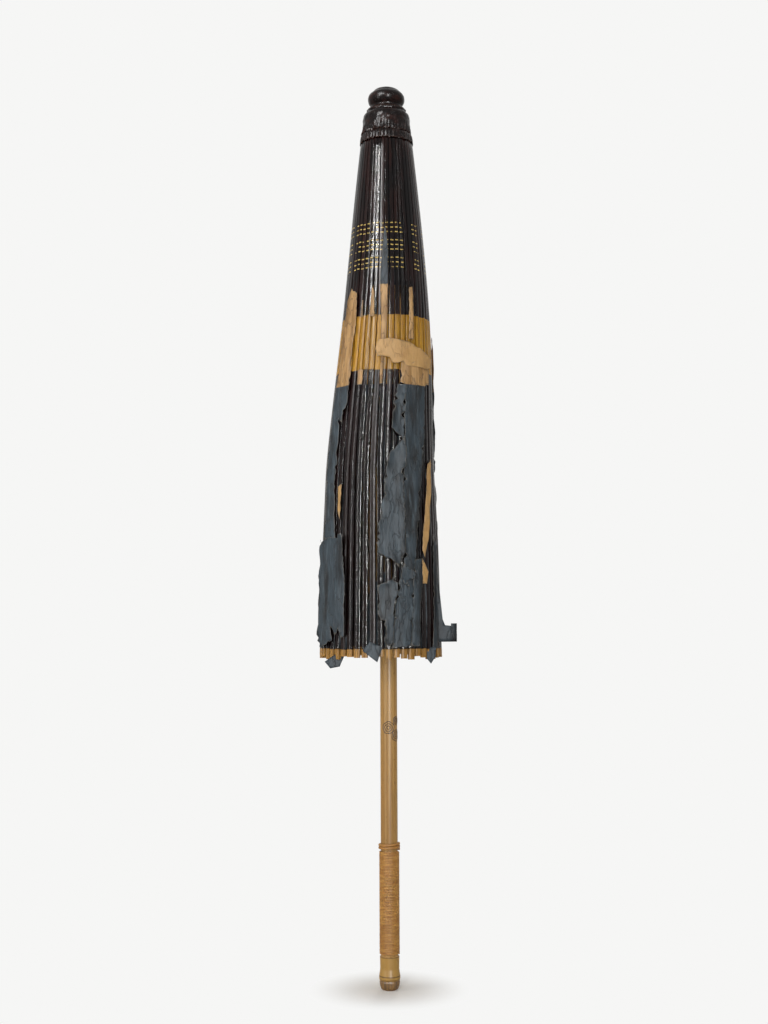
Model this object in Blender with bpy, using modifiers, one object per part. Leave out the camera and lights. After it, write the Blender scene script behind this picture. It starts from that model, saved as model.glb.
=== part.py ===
"""Folded oil paper umbrella with lacquered bamboo ribs, a sliding runner and a cane-bound grip.

Metres, +Z up along the shaft, origin at the centre of the butt's flat end face.
The umbrella is modelled folded. Each rib turns about a tangent of the top hub and each
stretcher joins a rib to the runner, so rib, stretcher and shaft make an isosceles triangle:
the runner's pivots stand as far from the axis as the hub's.
"""

import math

import bmesh
import bpy
from mathutils import Matrix, Vector

MM = 0.001
GAP = 0.3 * MM  # clearance between pieces that rest on or run past each other

# --- counts ---
MAIN_RIBS = 12  # ribs made as nodes of their own
RIBS_PER_MAIN = 4  # rib pitches between two main ribs, so the hubs have 48 slots
SLOTS = MAIN_RIBS * RIBS_PER_MAIN

# --- heights along the shaft ---
TOTAL_LENGTH = 780 * MM
HUB_PIVOT_Z = 737.5 * MM
RIB_TIP_Z = 281 * MM
GRIP_BOTTOM_Z = 28 * MM
GRIP_TOP_Z = 116 * MM
BINDING_LENGTH = 7 * MM

# --- the linkage ---
PIVOT_RADIUS = 15 * MM  # of the rib pivots in the hub and the stretcher pivots in the runner
LINK_LENGTH = 205 * MM  # hub pivot to mid pivot, and mid pivot to runner pivot
OPEN_ANGLE = math.radians(62)  # of the line from hub pivot to mid pivot, from the shaft

# --- ribs ---
BUNDLE_TOP_RADIUS = 22 * MM  # outer radius of the folded ribs at their shoulder
BUNDLE_SPREAD = 0.116  # how fast that radius grows at the shoulder
BUNDLE_BOW = 0.107  # how fast the spread falls off, per metre
RIB_DEPTH = 3.6 * MM
RIB_WIDTH = 4.4 * MM
RIB_SHARE_OF_PITCH = 0.82  # near the hub, where ribs stand too close for their full width
RIB_TIP_WIDTH = 4.0 * MM
SHOULDER_DROP = 8 * MM  # from the hub pivot to where a rib has its full depth
BLADE = 0.55 * MM  # thickness of a rib's or stretcher's tongue in its hub slot
EYE_RADIUS = 0.75 * MM
HEAD_RADIUS = 2 * MM  # of the rounded tongue round its eye

# --- mid joint ---
CHEEK_DEPTH = 5.4 * MM  # how far a rib's two cheeks stand inwards
CHEEK_LENGTH = 9 * MM
CHEEK_WIDTH = 3.8 * MM
CHEEK_SLOT = 1.5 * MM
MID_PIN_RADIUS = 0.55 * MM
MID_PIN_DROP = 2.8 * MM  # from the rib's inner face to the pin
MID_EYE_RADIUS = 0.9 * MM
MID_TONGUE = 0.9 * MM

# --- stretchers ---
STRETCHER_DEPTH = 3.0 * MM
STRETCHER_WIDTH = 2.4 * MM
STRETCHER_FOOT_WIDTH = 1.5 * MM  # by the runner, where the stretchers stand close
LACING_RADIUS = 0.5 * MM
LACING_SHARE = 0.4  # where the lacing crosses, as a share of the length from the runner

# --- hubs ---
HUB_RADIUS = 18 * MM
HUB_HALF_HEIGHT = 5.5 * MM  # of the slotted part, above and below its pivots
SLOT_WIDTH = BLADE + 2 * 0.275 * MM
SLOT_FLOOR_RADIUS = 12.3 * MM
DRUM_RADIUS = 16 * MM
DRUM_HEIGHT = 10 * MM
THREAD_RADIUS = 0.4 * MM
THREAD_HOLE_RADIUS = THREAD_RADIUS + GAP
NECK_RADIUS = 11 * MM
NECK_LENGTH = 32 * MM
RUNNER_PLAY = 0.5 * MM

# --- shaft ---
SHAFT_RADIUS = 7.25 * MM
SHAFT_TOP_RADIUS = 6.3 * MM  # inside the top hub
TENON_RADIUS = 5 * MM
TENON_LENGTH = 9 * MM
ROOT_RADIUS = 8.3 * MM  # the bamboo's thick root end, below the grip
NODE_RADIUS = 9 * MM
NODE_Z = 10.5 * MM
CAP_HEIGHT = 8 * MM
CAP_RADIUS = 8.7 * MM
CAP_FACE_RADIUS = 6 * MM
CAP_SPIGOT_RADIUS = 4 * MM
CAP_SPIGOT_LENGTH = 8 * MM
WRAP_THICKNESS = 1.0 * MM
BINDING_THICKNESS = 1.5 * MM
BINDING_TURNS = 4

# --- crown ---
COLLAR_CLEARANCE = 2.2 * MM  # of the collar's hem above the hub pivots, which the ribs swing past
COLLAR_TOP_Z = 762.3 * MM
COLLAR_HEM_RADIUS = 21.8 * MM
COLLAR_LIP_RADIUS = 17.2 * MM
COLLAR_WALL = 1.1 * MM
KNOB_RADIUS = 16.3 * MM
KNOB_WAIST_RADIUS = 14.2 * MM
CROWN_PIN_RADIUS = 1.2 * MM

# --- catch ---
CATCH_WIDTH = 2.4 * MM
CATCH_THICKNESS = 1.1 * MM
CATCH_LENGTH = 32 * MM
CATCH_PROUD = 2.6 * MM  # of the nose, outside the shaft
CATCH_SLOT_DEPTH = 6.4 * MM

# --- gores ---
GORE_DEPTH = 3.9 * MM
GORE_TOP_DROP = 10 * MM
GORE_HEM_RISE = 7 * MM

# --- facets ---
ROUND_STEPS = 32
SMALL_STEPS = 6


def bundle_radius(z):
    """Outer radius of the folded ribs at height z: a parabola, for ribs that bow outwards."""
    drop = max(HUB_PIVOT_Z - z, 0.0)
    return BUNDLE_TOP_RADIUS + BUNDLE_SPREAD * drop - BUNDLE_BOW * drop * drop


def rib_width(z):
    """Width of a rib at height z: a share of the pitch near the hub, then full, tapering to the tip."""
    pitch = 2 * math.pi * bundle_radius(z) / SLOTS
    toward_tip = (HUB_PIVOT_Z - z) / (HUB_PIVOT_Z - RIB_TIP_Z)
    full = RIB_WIDTH + (RIB_TIP_WIDTH - RIB_WIDTH) * toward_tip
    return min(RIB_SHARE_OF_PITCH * pitch, full)


def mid_pivot():
    """(radius, height) of the pin that joins a rib to its stretcher, folded."""
    z = HUB_PIVOT_Z - LINK_LENGTH
    for _ in range(20):
        radius = bundle_radius(z) - RIB_DEPTH - MID_PIN_DROP
        z = HUB_PIVOT_Z - math.sqrt(LINK_LENGTH**2 - (radius - PIVOT_RADIUS) ** 2)
    return radius, z


MID_RADIUS, MID_Z = mid_pivot()
FOLDED_ANGLE = math.asin((MID_RADIUS - PIVOT_RADIUS) / LINK_LENGTH)
RUNNER_Z = HUB_PIVOT_Z - 2 * LINK_LENGTH * math.cos(FOLDED_ANGLE)
RUNNER_OPEN_Z = HUB_PIVOT_Z - 2 * LINK_LENGTH * math.cos(OPEN_ANGLE)
CATCH_TOP_Z = RUNNER_OPEN_Z - HUB_HALF_HEIGHT - NECK_LENGTH - GAP
DRUM_TOP_Z = HUB_PIVOT_Z + HUB_HALF_HEIGHT + DRUM_HEIGHT
TENON_BOTTOM_Z = COLLAR_TOP_Z + GAP - TENON_LENGTH / 3


# --- scene ---


def clear_scene():
    for obj in list(bpy.data.objects):
        bpy.data.objects.remove(obj)


def new_collection(name):
    collection = bpy.data.collections.new(name)
    bpy.context.scene.collection.children.link(collection)
    return collection


def material(name, colour, roughness, metallic=0.0):
    made = bpy.data.materials.new(name)
    made.use_nodes = True
    shader = made.node_tree.nodes["Principled BSDF"]
    shader.inputs["Base Color"].default_value = (*colour, 1)
    shader.inputs["Roughness"].default_value = roughness
    shader.inputs["Metallic"].default_value = metallic
    return made


def add(name, mesh, collection, finish=None, origin=(0, 0, 0), turn=0.0, lean=0.0):
    """Adds an object on an empty at origin, both swung round Z by turn; lean tips it about its own Y."""
    holder = bpy.data.objects.new(name + "_axis", None)
    holder.location = Matrix.Rotation(turn, 4, "Z") @ Vector(origin)
    holder.rotation_euler = (0, 0, turn)
    collection.objects.link(holder)
    obj = bpy.data.objects.new(name, mesh)
    obj.parent = holder
    obj.rotation_euler = (0, lean, 0)
    collection.objects.link(obj)
    if finish and not mesh.materials:
        mesh.materials.append(finish)
    return obj


def smooth(mesh):
    mesh.shade_smooth()
    mesh.set_sharp_from_angle(angle=math.radians(35))
    return mesh


def settled(obj):
    """The object's evaluated mesh, and the object and its helpers removed."""
    bpy.context.view_layer.update()
    graph = bpy.context.evaluated_depsgraph_get()
    mesh = bpy.data.meshes.new_from_object(obj.evaluated_get(graph))
    mesh.name = obj.name
    for modifier in obj.modifiers:
        if modifier.type == "BOOLEAN":
            bpy.data.objects.remove(modifier.object)
    bpy.data.objects.remove(obj)
    return mesh


# --- shapes ---


def loose(name, mesh):
    obj = bpy.data.objects.new(name, mesh)
    bpy.context.scene.collection.objects.link(obj)
    return obj


def helper(name, mesh):
    """A cutter or a piece to be joined on: never a node."""
    obj = bpy.data.objects.new(name, mesh)
    obj.hide_render = True
    obj.display_type = "WIRE"
    CUTTERS.objects.link(obj)
    return obj


def combine(obj, other, operation):
    modifier = obj.modifiers.new(other.name, "BOOLEAN")
    modifier.operation = operation
    modifier.object = other
    return obj


def block(name, size, centre):
    """A box, from the cube primitive."""
    shape = bmesh.new()
    bmesh.ops.create_cube(shape, size=1)
    bmesh.ops.scale(shape, vec=size, verts=shape.verts)
    bmesh.ops.translate(shape, vec=centre, verts=shape.verts)
    mesh = bpy.data.meshes.new(name)
    shape.to_mesh(mesh)
    shape.free()
    return mesh


def rod(name, radius, length, centre, steps=SMALL_STEPS, axis="Y"):
    """A cylinder along Y or X, from the cone primitive."""
    shape = bmesh.new()
    bmesh.ops.create_cone(
        shape, cap_ends=True, segments=steps, radius1=radius, radius2=radius, depth=length
    )
    quarter = Matrix.Rotation(math.pi / 2, 3, "X" if axis == "Y" else "Y")
    bmesh.ops.rotate(shape, matrix=quarter, verts=shape.verts)
    bmesh.ops.translate(shape, vec=centre, verts=shape.verts)
    mesh = bpy.data.meshes.new(name)
    shape.to_mesh(mesh)
    shape.free()
    return mesh


def turned(name, profile, closed=False, steps=ROUND_STEPS):
    """A turned shape. The profile is (radius, height) pairs, outside first and from top to bottom."""
    mesh = bpy.data.meshes.new(name)
    edges = [(i, i + 1) for i in range(len(profile) - 1)]
    if closed:
        edges.append((len(profile) - 1, 0))
    mesh.from_pydata([(radius, 0, z) for radius, z in profile], edges, [])
    obj = loose(name, mesh)
    screw = obj.modifiers.new("turn", "SCREW")
    screw.axis = "Z"
    screw.steps = steps
    screw.render_steps = steps
    screw.use_merge_vertices = True
    screw.merge_threshold = 0.00002
    return obj


def ring(name, radius, thickness, z, steps=SLOTS, sides=5):
    """A torus about Z, turned from a small closed circle."""
    circle = [
        (radius + thickness * math.cos(a), z + thickness * math.sin(a))
        for a in (-2 * math.pi * i / sides for i in range(sides))
    ]
    return turned(name, circle, closed=True, steps=steps)


def bar(name, stations):
    """A bar down -Z cut from the cube primitive. A station is (height, inner x, outer x, width)."""
    heights = [station[0] for station in stations]
    shape = bmesh.new()
    bmesh.ops.create_cube(shape, size=1)
    for i in range(1, len(heights) - 1):
        everything = shape.verts[:] + shape.edges[:] + shape.faces[:]
        cut = Vector((0, 0, 0.5 - i / (len(heights) - 1)))
        bmesh.ops.bisect_plane(shape, geom=everything, plane_co=cut, plane_no=(0, 0, 1))
    for vert in shape.verts:
        i = round((0.5 - vert.co.z) * (len(heights) - 1))
        z, inner, outer, width = stations[i]
        vert.co = Vector((outer if vert.co.x > 0 else inner, math.copysign(width / 2, vert.co.y), z))
    bmesh.ops.recalc_face_normals(shape, faces=shape.faces)
    mesh = bpy.data.meshes.new(name)
    shape.to_mesh(mesh)
    shape.free()
    return mesh


def slotted_disc(name, z_low, z_high, bore):
    """A disc with a radial slot for each rib, extruded from its flat outline."""
    outline = []
    for i in range(SLOTS):
        middle = 2 * math.pi * i / SLOTS
        for radius, side in (
            (HUB_RADIUS, -1), (SLOT_FLOOR_RADIUS, -1), (SLOT_FLOOR_RADIUS, 1), (HUB_RADIUS, 1),
        ):
            angle = middle + side * math.asin(SLOT_WIDTH / 2 / radius)
            outline.append((radius * math.cos(angle), radius * math.sin(angle)))
    hole = [
        (bore * math.cos(a), bore * math.sin(a))
        for a in (2 * math.pi * i / ROUND_STEPS for i in range(ROUND_STEPS))
    ]
    curve = bpy.data.curves.new(name, "CURVE")
    curve.dimensions = "2D"
    curve.fill_mode = "BOTH"
    curve.extrude = (z_high - z_low) / 2
    for points in (outline, hole):
        spline = curve.splines.new("POLY")
        spline.points.add(len(points) - 1)
        for point, (x, y) in zip(spline.points, points):
            point.co = (x, y, 0, 1)
        spline.use_cyclic_u = True
    obj = loose(name, curve)
    mesh = settled(obj)
    shape = bmesh.new()
    shape.from_mesh(mesh)
    bmesh.ops.remove_doubles(shape, verts=shape.verts, dist=0.00001)
    bmesh.ops.translate(shape, vec=(0, 0, (z_low + z_high) / 2), verts=shape.verts)
    bmesh.ops.recalc_face_normals(shape, faces=shape.faces)
    shape.to_mesh(mesh)
    shape.free()
    return mesh


# --- ribs, stretchers and gores ---


def rib_mesh():
    """A rib in its own plane, its hub pivot at the origin, folded."""

    def station(z, inner, outer, width):
        return (z - HUB_PIVOT_Z, inner - PIVOT_RADIUS, outer - PIVOT_RADIUS, width)

    shoulder = HUB_PIVOT_Z - SHOULDER_DROP
    head = [
        station(HUB_PIVOT_Z + HEAD_RADIUS * 0.8, PIVOT_RADIUS - HEAD_RADIUS * 0.6,
                PIVOT_RADIUS + HEAD_RADIUS * 0.5, BLADE),
        station(HUB_PIVOT_Z, PIVOT_RADIUS - HEAD_RADIUS * 0.9, PIVOT_RADIUS + HEAD_RADIUS * 0.9, BLADE),
        station(HUB_PIVOT_Z - HUB_HALF_HEIGHT - 0.8 * MM, PIVOT_RADIUS - 0.5 * HEAD_RADIUS,
                bundle_radius(shoulder) - 2.0 * MM, BLADE),
        station(shoulder, bundle_radius(shoulder) - RIB_DEPTH - 1.2 * MM,
                bundle_radius(shoulder), rib_width(shoulder)),
    ]
    body = []
    steps = 12
    for i in range(1, steps + 1):
        z = shoulder + (RIB_TIP_Z - shoulder) * (i / steps) ** 1.15
        outer = bundle_radius(z)
        body.append(station(z, outer - RIB_DEPTH, outer, rib_width(z)))
    rib = loose("rib", bar("rib", head + body))

    mid_x, mid_z = MID_RADIUS - PIVOT_RADIUS, MID_Z - HUB_PIVOT_Z
    inner_x = mid_x + MID_PIN_DROP
    root = 0.9 * MM  # how far the cheeks grow out of the rib
    cheeks = block(
        "cheeks", (CHEEK_DEPTH + root, CHEEK_WIDTH, CHEEK_LENGTH),
        (inner_x + root / 2 - CHEEK_DEPTH / 2, 0, mid_z),
    )
    combine(rib, helper("cheeks", cheeks), "UNION")
    slot = block(
        "cheek_slot", (CHEEK_DEPTH, CHEEK_SLOT, CHEEK_LENGTH * 2),
        (inner_x - GAP - CHEEK_DEPTH / 2, 0, mid_z),
    )
    combine(rib, helper("cheek_slot", slot), "DIFFERENCE")
    pin = rod("mid_pin", MID_PIN_RADIUS, CHEEK_WIDTH - 2 * GAP, (mid_x, 0, mid_z))
    combine(rib, helper("mid_pin", pin), "UNION")
    eye = rod("rib_eye", EYE_RADIUS, 6 * BLADE, (0, 0, 0))
    combine(rib, helper("rib_eye", eye), "DIFFERENCE")
    return settled(rib)


def stretcher_mesh():
    """A stretcher down -Z from its mid pivot at the origin to its runner pivot."""
    half = STRETCHER_DEPTH / 2
    neck = HUB_HALF_HEIGHT + 3 * MM  # tongue length that stays inside a hub's slot
    upper = CHEEK_DEPTH + 2 * MM
    narrow = HEAD_RADIUS * 0.5
    stations = [
        (HEAD_RADIUS * 0.9, -narrow, narrow, MID_TONGUE),
        (0, -HEAD_RADIUS * 0.85, HEAD_RADIUS * 0.85, MID_TONGUE),
        (-upper, -half, half, MID_TONGUE),
        (-upper - 2 * MM, -half, half, STRETCHER_WIDTH),
        (-LINK_LENGTH * 0.5, -half * 1.1, half * 1.1, STRETCHER_WIDTH),
        (-LINK_LENGTH + neck + 3 * MM, -half, half, STRETCHER_FOOT_WIDTH),
        (-LINK_LENGTH + neck, -half, half, BLADE),
        (-LINK_LENGTH, -HEAD_RADIUS * 0.85, HEAD_RADIUS * 0.85, BLADE),
        (-LINK_LENGTH - HEAD_RADIUS * 0.9, -narrow, narrow, BLADE),
    ]
    stretcher = loose("stretcher", bar("stretcher", stations))
    mid_eye = rod("mid_eye", MID_EYE_RADIUS, 6 * MID_TONGUE, (0, 0, 0))
    combine(stretcher, helper("mid_eye", mid_eye), "DIFFERENCE")
    eye = rod("runner_eye", EYE_RADIUS, 6 * BLADE, (0, 0, -LINK_LENGTH))
    combine(stretcher, helper("runner_eye", eye), "DIFFERENCE")
    return settled(stretcher)


def gore_apex_z():
    """Height on the shaft's line where one main rib's swing and the next one's meet."""
    swing = OPEN_ANGLE - FOLDED_ANGLE
    return HUB_PIVOT_Z + PIVOT_RADIUS * math.tan(swing / 2)


def group_apex_z():
    """The same for the stretchers, which swing the other way about the runner."""
    swing = OPEN_ANGLE - FOLDED_ANGLE
    return RUNNER_Z - PIVOT_RADIUS * math.tan(swing / 2)


def stretcher_group_mesh(stretcher):
    """The laid-in stretchers between two main ones, laced together with a thread."""
    pitch = 2 * math.pi / SLOTS
    drop = Matrix.Translation((0, 0, -group_apex_z()))
    place = Matrix.Translation((MID_RADIUS, 0, MID_Z)) @ Matrix.Rotation(FOLDED_ANGLE, 4, "Y")
    bars = []
    for i in range(1, RIBS_PER_MAIN):
        copy = stretcher.copy()
        copy.transform(drop @ Matrix.Rotation(i * pitch, 4, "Z") @ place)
        bars.append(copy)
    height = RUNNER_Z + (MID_Z - RUNNER_Z) * LACING_SHARE
    reach = PIVOT_RADIUS + (MID_RADIUS - PIVOT_RADIUS) * LACING_SHARE
    curve = bpy.data.curves.new("lacing", "CURVE")
    curve.dimensions = "3D"
    curve.bevel_depth = LACING_RADIUS
    curve.bevel_resolution = 1
    curve.use_fill_caps = True
    spline = curve.splines.new("POLY")
    count = 2 * (RIBS_PER_MAIN - 2) + 1
    spline.points.add(count - 1)
    for i, point in enumerate(spline.points):
        angle = pitch * (1 + (RIBS_PER_MAIN - 2) * i / (count - 1))
        point.co = (reach * math.cos(angle), reach * math.sin(angle), height - group_apex_z(), 1)
    group = loose("stretcher_group", settled(loose("lacing", curve)))
    for mesh in bars:
        combine(group, helper("laid_in_stretcher", mesh), "UNION")
    return settled(group)


def gore_mesh():
    """The folded paper and laid-in ribs between two main ribs, as one plain curved plate."""
    top = HUB_PIVOT_Z - GORE_TOP_DROP
    hem = RIB_TIP_Z + GORE_HEM_RISE
    columns, rows = 6, 7
    pitch = 2 * math.pi / MAIN_RIBS
    shape = bmesh.new()
    bmesh.ops.create_grid(shape, x_segments=columns, y_segments=rows, size=0.5)
    for vert in shape.verts:
        z = hem + (top - hem) * (vert.co.y + 0.5)
        radius = bundle_radius(z) - GAP
        side = (rib_width(z) / 2 + GAP * 1.4) / (radius - GORE_DEPTH)
        angle = side + (pitch - 2 * side) * (vert.co.x + 0.5)
        vert.co = (radius * math.cos(angle), radius * math.sin(angle), z - gore_apex_z())
    bmesh.ops.recalc_face_normals(shape, faces=shape.faces)
    mesh = bpy.data.meshes.new("gore")
    shape.to_mesh(mesh)
    shape.free()
    outward = mesh.polygons[0].normal.dot(Vector((math.cos(pitch / 2), math.sin(pitch / 2), 0))) > 0
    obj = loose("gore", mesh)
    solid = obj.modifiers.new("paper", "SOLIDIFY")
    solid.thickness = GORE_DEPTH
    solid.offset = -1 if outward else 1
    return settled(obj)


# --- fixed pieces ---


def shaft_object():
    """The bamboo stem: a thick root end, a long straight culm, a thinner top and a tenon for the knob."""
    hub_seat = HUB_PIVOT_Z - HUB_HALF_HEIGHT - GAP
    profile = [
        (0, TENON_BOTTOM_Z + TENON_LENGTH),
        (TENON_RADIUS, TENON_BOTTOM_Z + TENON_LENGTH),
        (TENON_RADIUS, TENON_BOTTOM_Z),
        (SHAFT_TOP_RADIUS, TENON_BOTTOM_Z),
        (SHAFT_TOP_RADIUS, hub_seat),
        (SHAFT_RADIUS, hub_seat),
        (SHAFT_RADIUS, GRIP_BOTTOM_Z + 1 * MM),
        (ROOT_RADIUS, GRIP_BOTTOM_Z - GAP),
        (ROOT_RADIUS - 0.2 * MM, NODE_Z + 7 * MM),
        (NODE_RADIUS, NODE_Z + 1 * MM),
        (NODE_RADIUS, NODE_Z - 1 * MM),
        (CAP_RADIUS, CAP_HEIGHT + GAP),
        (CAP_SPIGOT_RADIUS + GAP, CAP_HEIGHT + GAP),
        (CAP_SPIGOT_RADIUS + GAP, CAP_HEIGHT + CAP_SPIGOT_LENGTH + GAP),
        (0, CAP_HEIGHT + CAP_SPIGOT_LENGTH + GAP),
    ]
    shaft = turned("shaft", profile)
    slot_length = CATCH_LENGTH + 3 * MM
    slot = block(
        "catch_slot", (CATCH_SLOT_DEPTH * 2, CATCH_WIDTH + 2 * GAP, slot_length),
        (SHAFT_RADIUS, 0, CATCH_TOP_Z + 1 * MM - slot_length / 2),
    )
    combine(shaft, helper("catch_slot", slot), "DIFFERENCE")
    hole = rod(
        "pin_hole", CROWN_PIN_RADIUS + GAP / 2, DRUM_RADIUS * 2.2,
        (0, 0, DRUM_TOP_Z - DRUM_HEIGHT / 2), steps=12, axis="X",
    )
    combine(shaft, helper("pin_hole", hole), "DIFFERENCE")
    return shaft


def drill_for_thread(obj, z):
    hole = ring("thread_hole", PIVOT_RADIUS, THREAD_HOLE_RADIUS, z)
    mesh = settled(hole)
    return combine(obj, helper("thread_hole", mesh), "DIFFERENCE")


def top_hub_object():
    """The slotted upper hub, with a plain drum above its slots."""
    low, high = HUB_PIVOT_Z - HUB_HALF_HEIGHT, HUB_PIVOT_Z + HUB_HALF_HEIGHT
    bore = SHAFT_TOP_RADIUS + GAP
    hub = loose("top_hub", slotted_disc("top_hub", low, high, bore))
    drill_for_thread(hub, HUB_PIVOT_Z)
    overlap = 0.8 * MM
    drum_profile = [
        (DRUM_RADIUS, DRUM_TOP_Z), (DRUM_RADIUS, high - overlap), (bore + GAP, high - overlap),
        (bore + GAP, DRUM_TOP_Z),
    ]
    drum = settled(turned("hub_drum", drum_profile, closed=True))
    combine(hub, helper("hub_drum", drum), "UNION")
    hole = rod(
        "hub_pin_hole", CROWN_PIN_RADIUS + GAP / 2, DRUM_RADIUS * 2.2,
        (0, 0, DRUM_TOP_Z - DRUM_HEIGHT / 2), steps=12, axis="X",
    )
    combine(hub, helper("hub_pin_hole", hole), "DIFFERENCE")
    return hub


def runner_object():
    """The slotted runner and the neck that slides on the shaft, with its own height at the origin."""
    bore = SHAFT_RADIUS + RUNNER_PLAY
    runner = loose("runner_hub", slotted_disc("runner_hub", -HUB_HALF_HEIGHT, HUB_HALF_HEIGHT, bore))
    drill_for_thread(runner, 0)
    overlap = 0.8 * MM
    foot = -HUB_HALF_HEIGHT - NECK_LENGTH
    lip = 1.2 * MM
    neck_profile = [
        (NECK_RADIUS, -HUB_HALF_HEIGHT + overlap), (NECK_RADIUS, foot + 5 * MM),
        (NECK_RADIUS + lip, foot + 3 * MM), (NECK_RADIUS + lip, foot + 1 * MM),
        (NECK_RADIUS, foot), (bore + GAP / 3, foot), (bore + GAP / 3, -HUB_HALF_HEIGHT + overlap),
    ]
    neck = settled(turned("runner_neck", neck_profile, closed=True))
    combine(runner, helper("runner_neck", neck), "UNION")
    return runner


def collar_object():
    """The lacquered cap round the hub: a lip, a round shoulder and a nearly straight wall."""
    hem = HUB_PIVOT_Z + COLLAR_CLEARANCE
    rise = COLLAR_TOP_Z - hem
    outside = [
        (COLLAR_LIP_RADIUS - 1.2 * MM, COLLAR_TOP_Z),
        (COLLAR_LIP_RADIUS, COLLAR_TOP_Z - 1.0 * MM),
        (COLLAR_LIP_RADIUS, COLLAR_TOP_Z - 2.2 * MM),
        (COLLAR_HEM_RADIUS - 2.6 * MM, hem + rise * 0.74),
        (COLLAR_HEM_RADIUS - 1.1 * MM, hem + rise * 0.62),
        (COLLAR_HEM_RADIUS - 0.6 * MM, hem + rise * 0.35),
        (COLLAR_HEM_RADIUS, hem),
    ]
    roof = COLLAR_TOP_Z - 3.5 * MM
    inside = [
        (COLLAR_HEM_RADIUS - COLLAR_WALL, hem),
        (COLLAR_HEM_RADIUS - 0.6 * MM - COLLAR_WALL, hem + rise * 0.35),
        (DRUM_RADIUS + GAP, hem + rise * 0.62),
        (DRUM_RADIUS + GAP, DRUM_TOP_Z + GAP),
        (SHAFT_TOP_RADIUS + GAP, DRUM_TOP_Z + GAP),
        (SHAFT_TOP_RADIUS + GAP, max(roof, DRUM_TOP_Z + 2 * MM)),
        (SHAFT_TOP_RADIUS + GAP, COLLAR_TOP_Z),
    ]
    return turned("crown_collar", outside + inside, closed=True)


def knob_object():
    """The turned finial: a bun with a flat top and a waist above the collar."""
    foot = COLLAR_TOP_Z + GAP
    rise = TOTAL_LENGTH - foot
    arc = 7
    bulge = []
    for i in range(arc + 1):
        angle = math.radians(62 - 112 * i / arc)
        radius = KNOB_RADIUS - 6.5 * MM + 6.5 * MM * math.cos(angle)
        bulge.append((radius, foot + rise * 0.46 + 7.2 * MM * math.sin(angle)))
    profile = [(0, TOTAL_LENGTH), (8 * MM, TOTAL_LENGTH), (11 * MM, TOTAL_LENGTH - 0.9 * MM)]
    profile += bulge
    profile += [
        (KNOB_WAIST_RADIUS - 1.2 * MM, foot + 1.2 * MM),
        (KNOB_WAIST_RADIUS, foot),
        (TENON_RADIUS + GAP, foot),
        (TENON_RADIUS + GAP, TENON_BOTTOM_Z + TENON_LENGTH + GAP),
        (0, TENON_BOTTOM_Z + TENON_LENGTH + GAP),
    ]
    return turned("crown_knob", profile)


def crown_pin_mesh():
    """The peg that locks the hub to the shaft."""
    return rod("crown_pin", CROWN_PIN_RADIUS, DRUM_RADIUS * 2 - 0.4 * MM, (0, 0, 0), steps=12, axis="X")


def grip_wrap_object():
    """The sleeve of wound cane round the grip, with a shallow swell."""
    inner = SHAFT_RADIUS + GAP
    outer = inner + WRAP_THICKNESS
    bottom, top = GRIP_BOTTOM_Z + 1.3 * MM, GRIP_TOP_Z
    swell = 0.15 * MM
    steps = 6
    outside = [
        (outer + swell * math.sin(math.pi * i / steps), top + (bottom - top) * i / steps)
        for i in range(steps + 1)
    ]
    return turned("grip_wrap", outside + [(inner, bottom), (inner, top)], closed=True)


def grip_binding_object():
    """Four thicker turns of cane that finish the grip, as one ridged band."""
    inner = SHAFT_RADIUS + GAP
    bottom = GRIP_TOP_Z + GAP
    turn_height = BINDING_LENGTH / BINDING_TURNS
    sides = 4
    outside = []
    for i in reversed(range(BINDING_TURNS)):
        for j in range(sides + 1):
            angle = math.pi / 2 - math.pi * j / sides
            z = bottom + turn_height * (i + 0.5 + 0.5 * math.sin(angle))
            ridge = BINDING_THICKNESS * (0.45 + 0.55 * math.cos(angle))
            if not outside or z < outside[-1][1] - 0.01 * MM:
                outside.append((inner + ridge, z))
    return turned("grip_binding", outside + [(inner, bottom), (inner, outside[0][1])], closed=True)


def butt_cap_object():
    """The dark end cap, with a flat face to rest on and a spigot up the stem."""
    profile = [
        (0, CAP_HEIGHT + CAP_SPIGOT_LENGTH),
        (CAP_SPIGOT_RADIUS, CAP_HEIGHT + CAP_SPIGOT_LENGTH),
        (CAP_SPIGOT_RADIUS, CAP_HEIGHT),
        (CAP_RADIUS - 0.3 * MM, CAP_HEIGHT),
        (CAP_RADIUS, CAP_HEIGHT * 0.8),
        (CAP_RADIUS - 0.5 * MM, CAP_HEIGHT * 0.4),
        (CAP_RADIUS - 1.4 * MM, CAP_HEIGHT * 0.13),
        (CAP_FACE_RADIUS, 0),
        (0, 0),
    ]
    return turned("butt_cap", profile)


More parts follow.
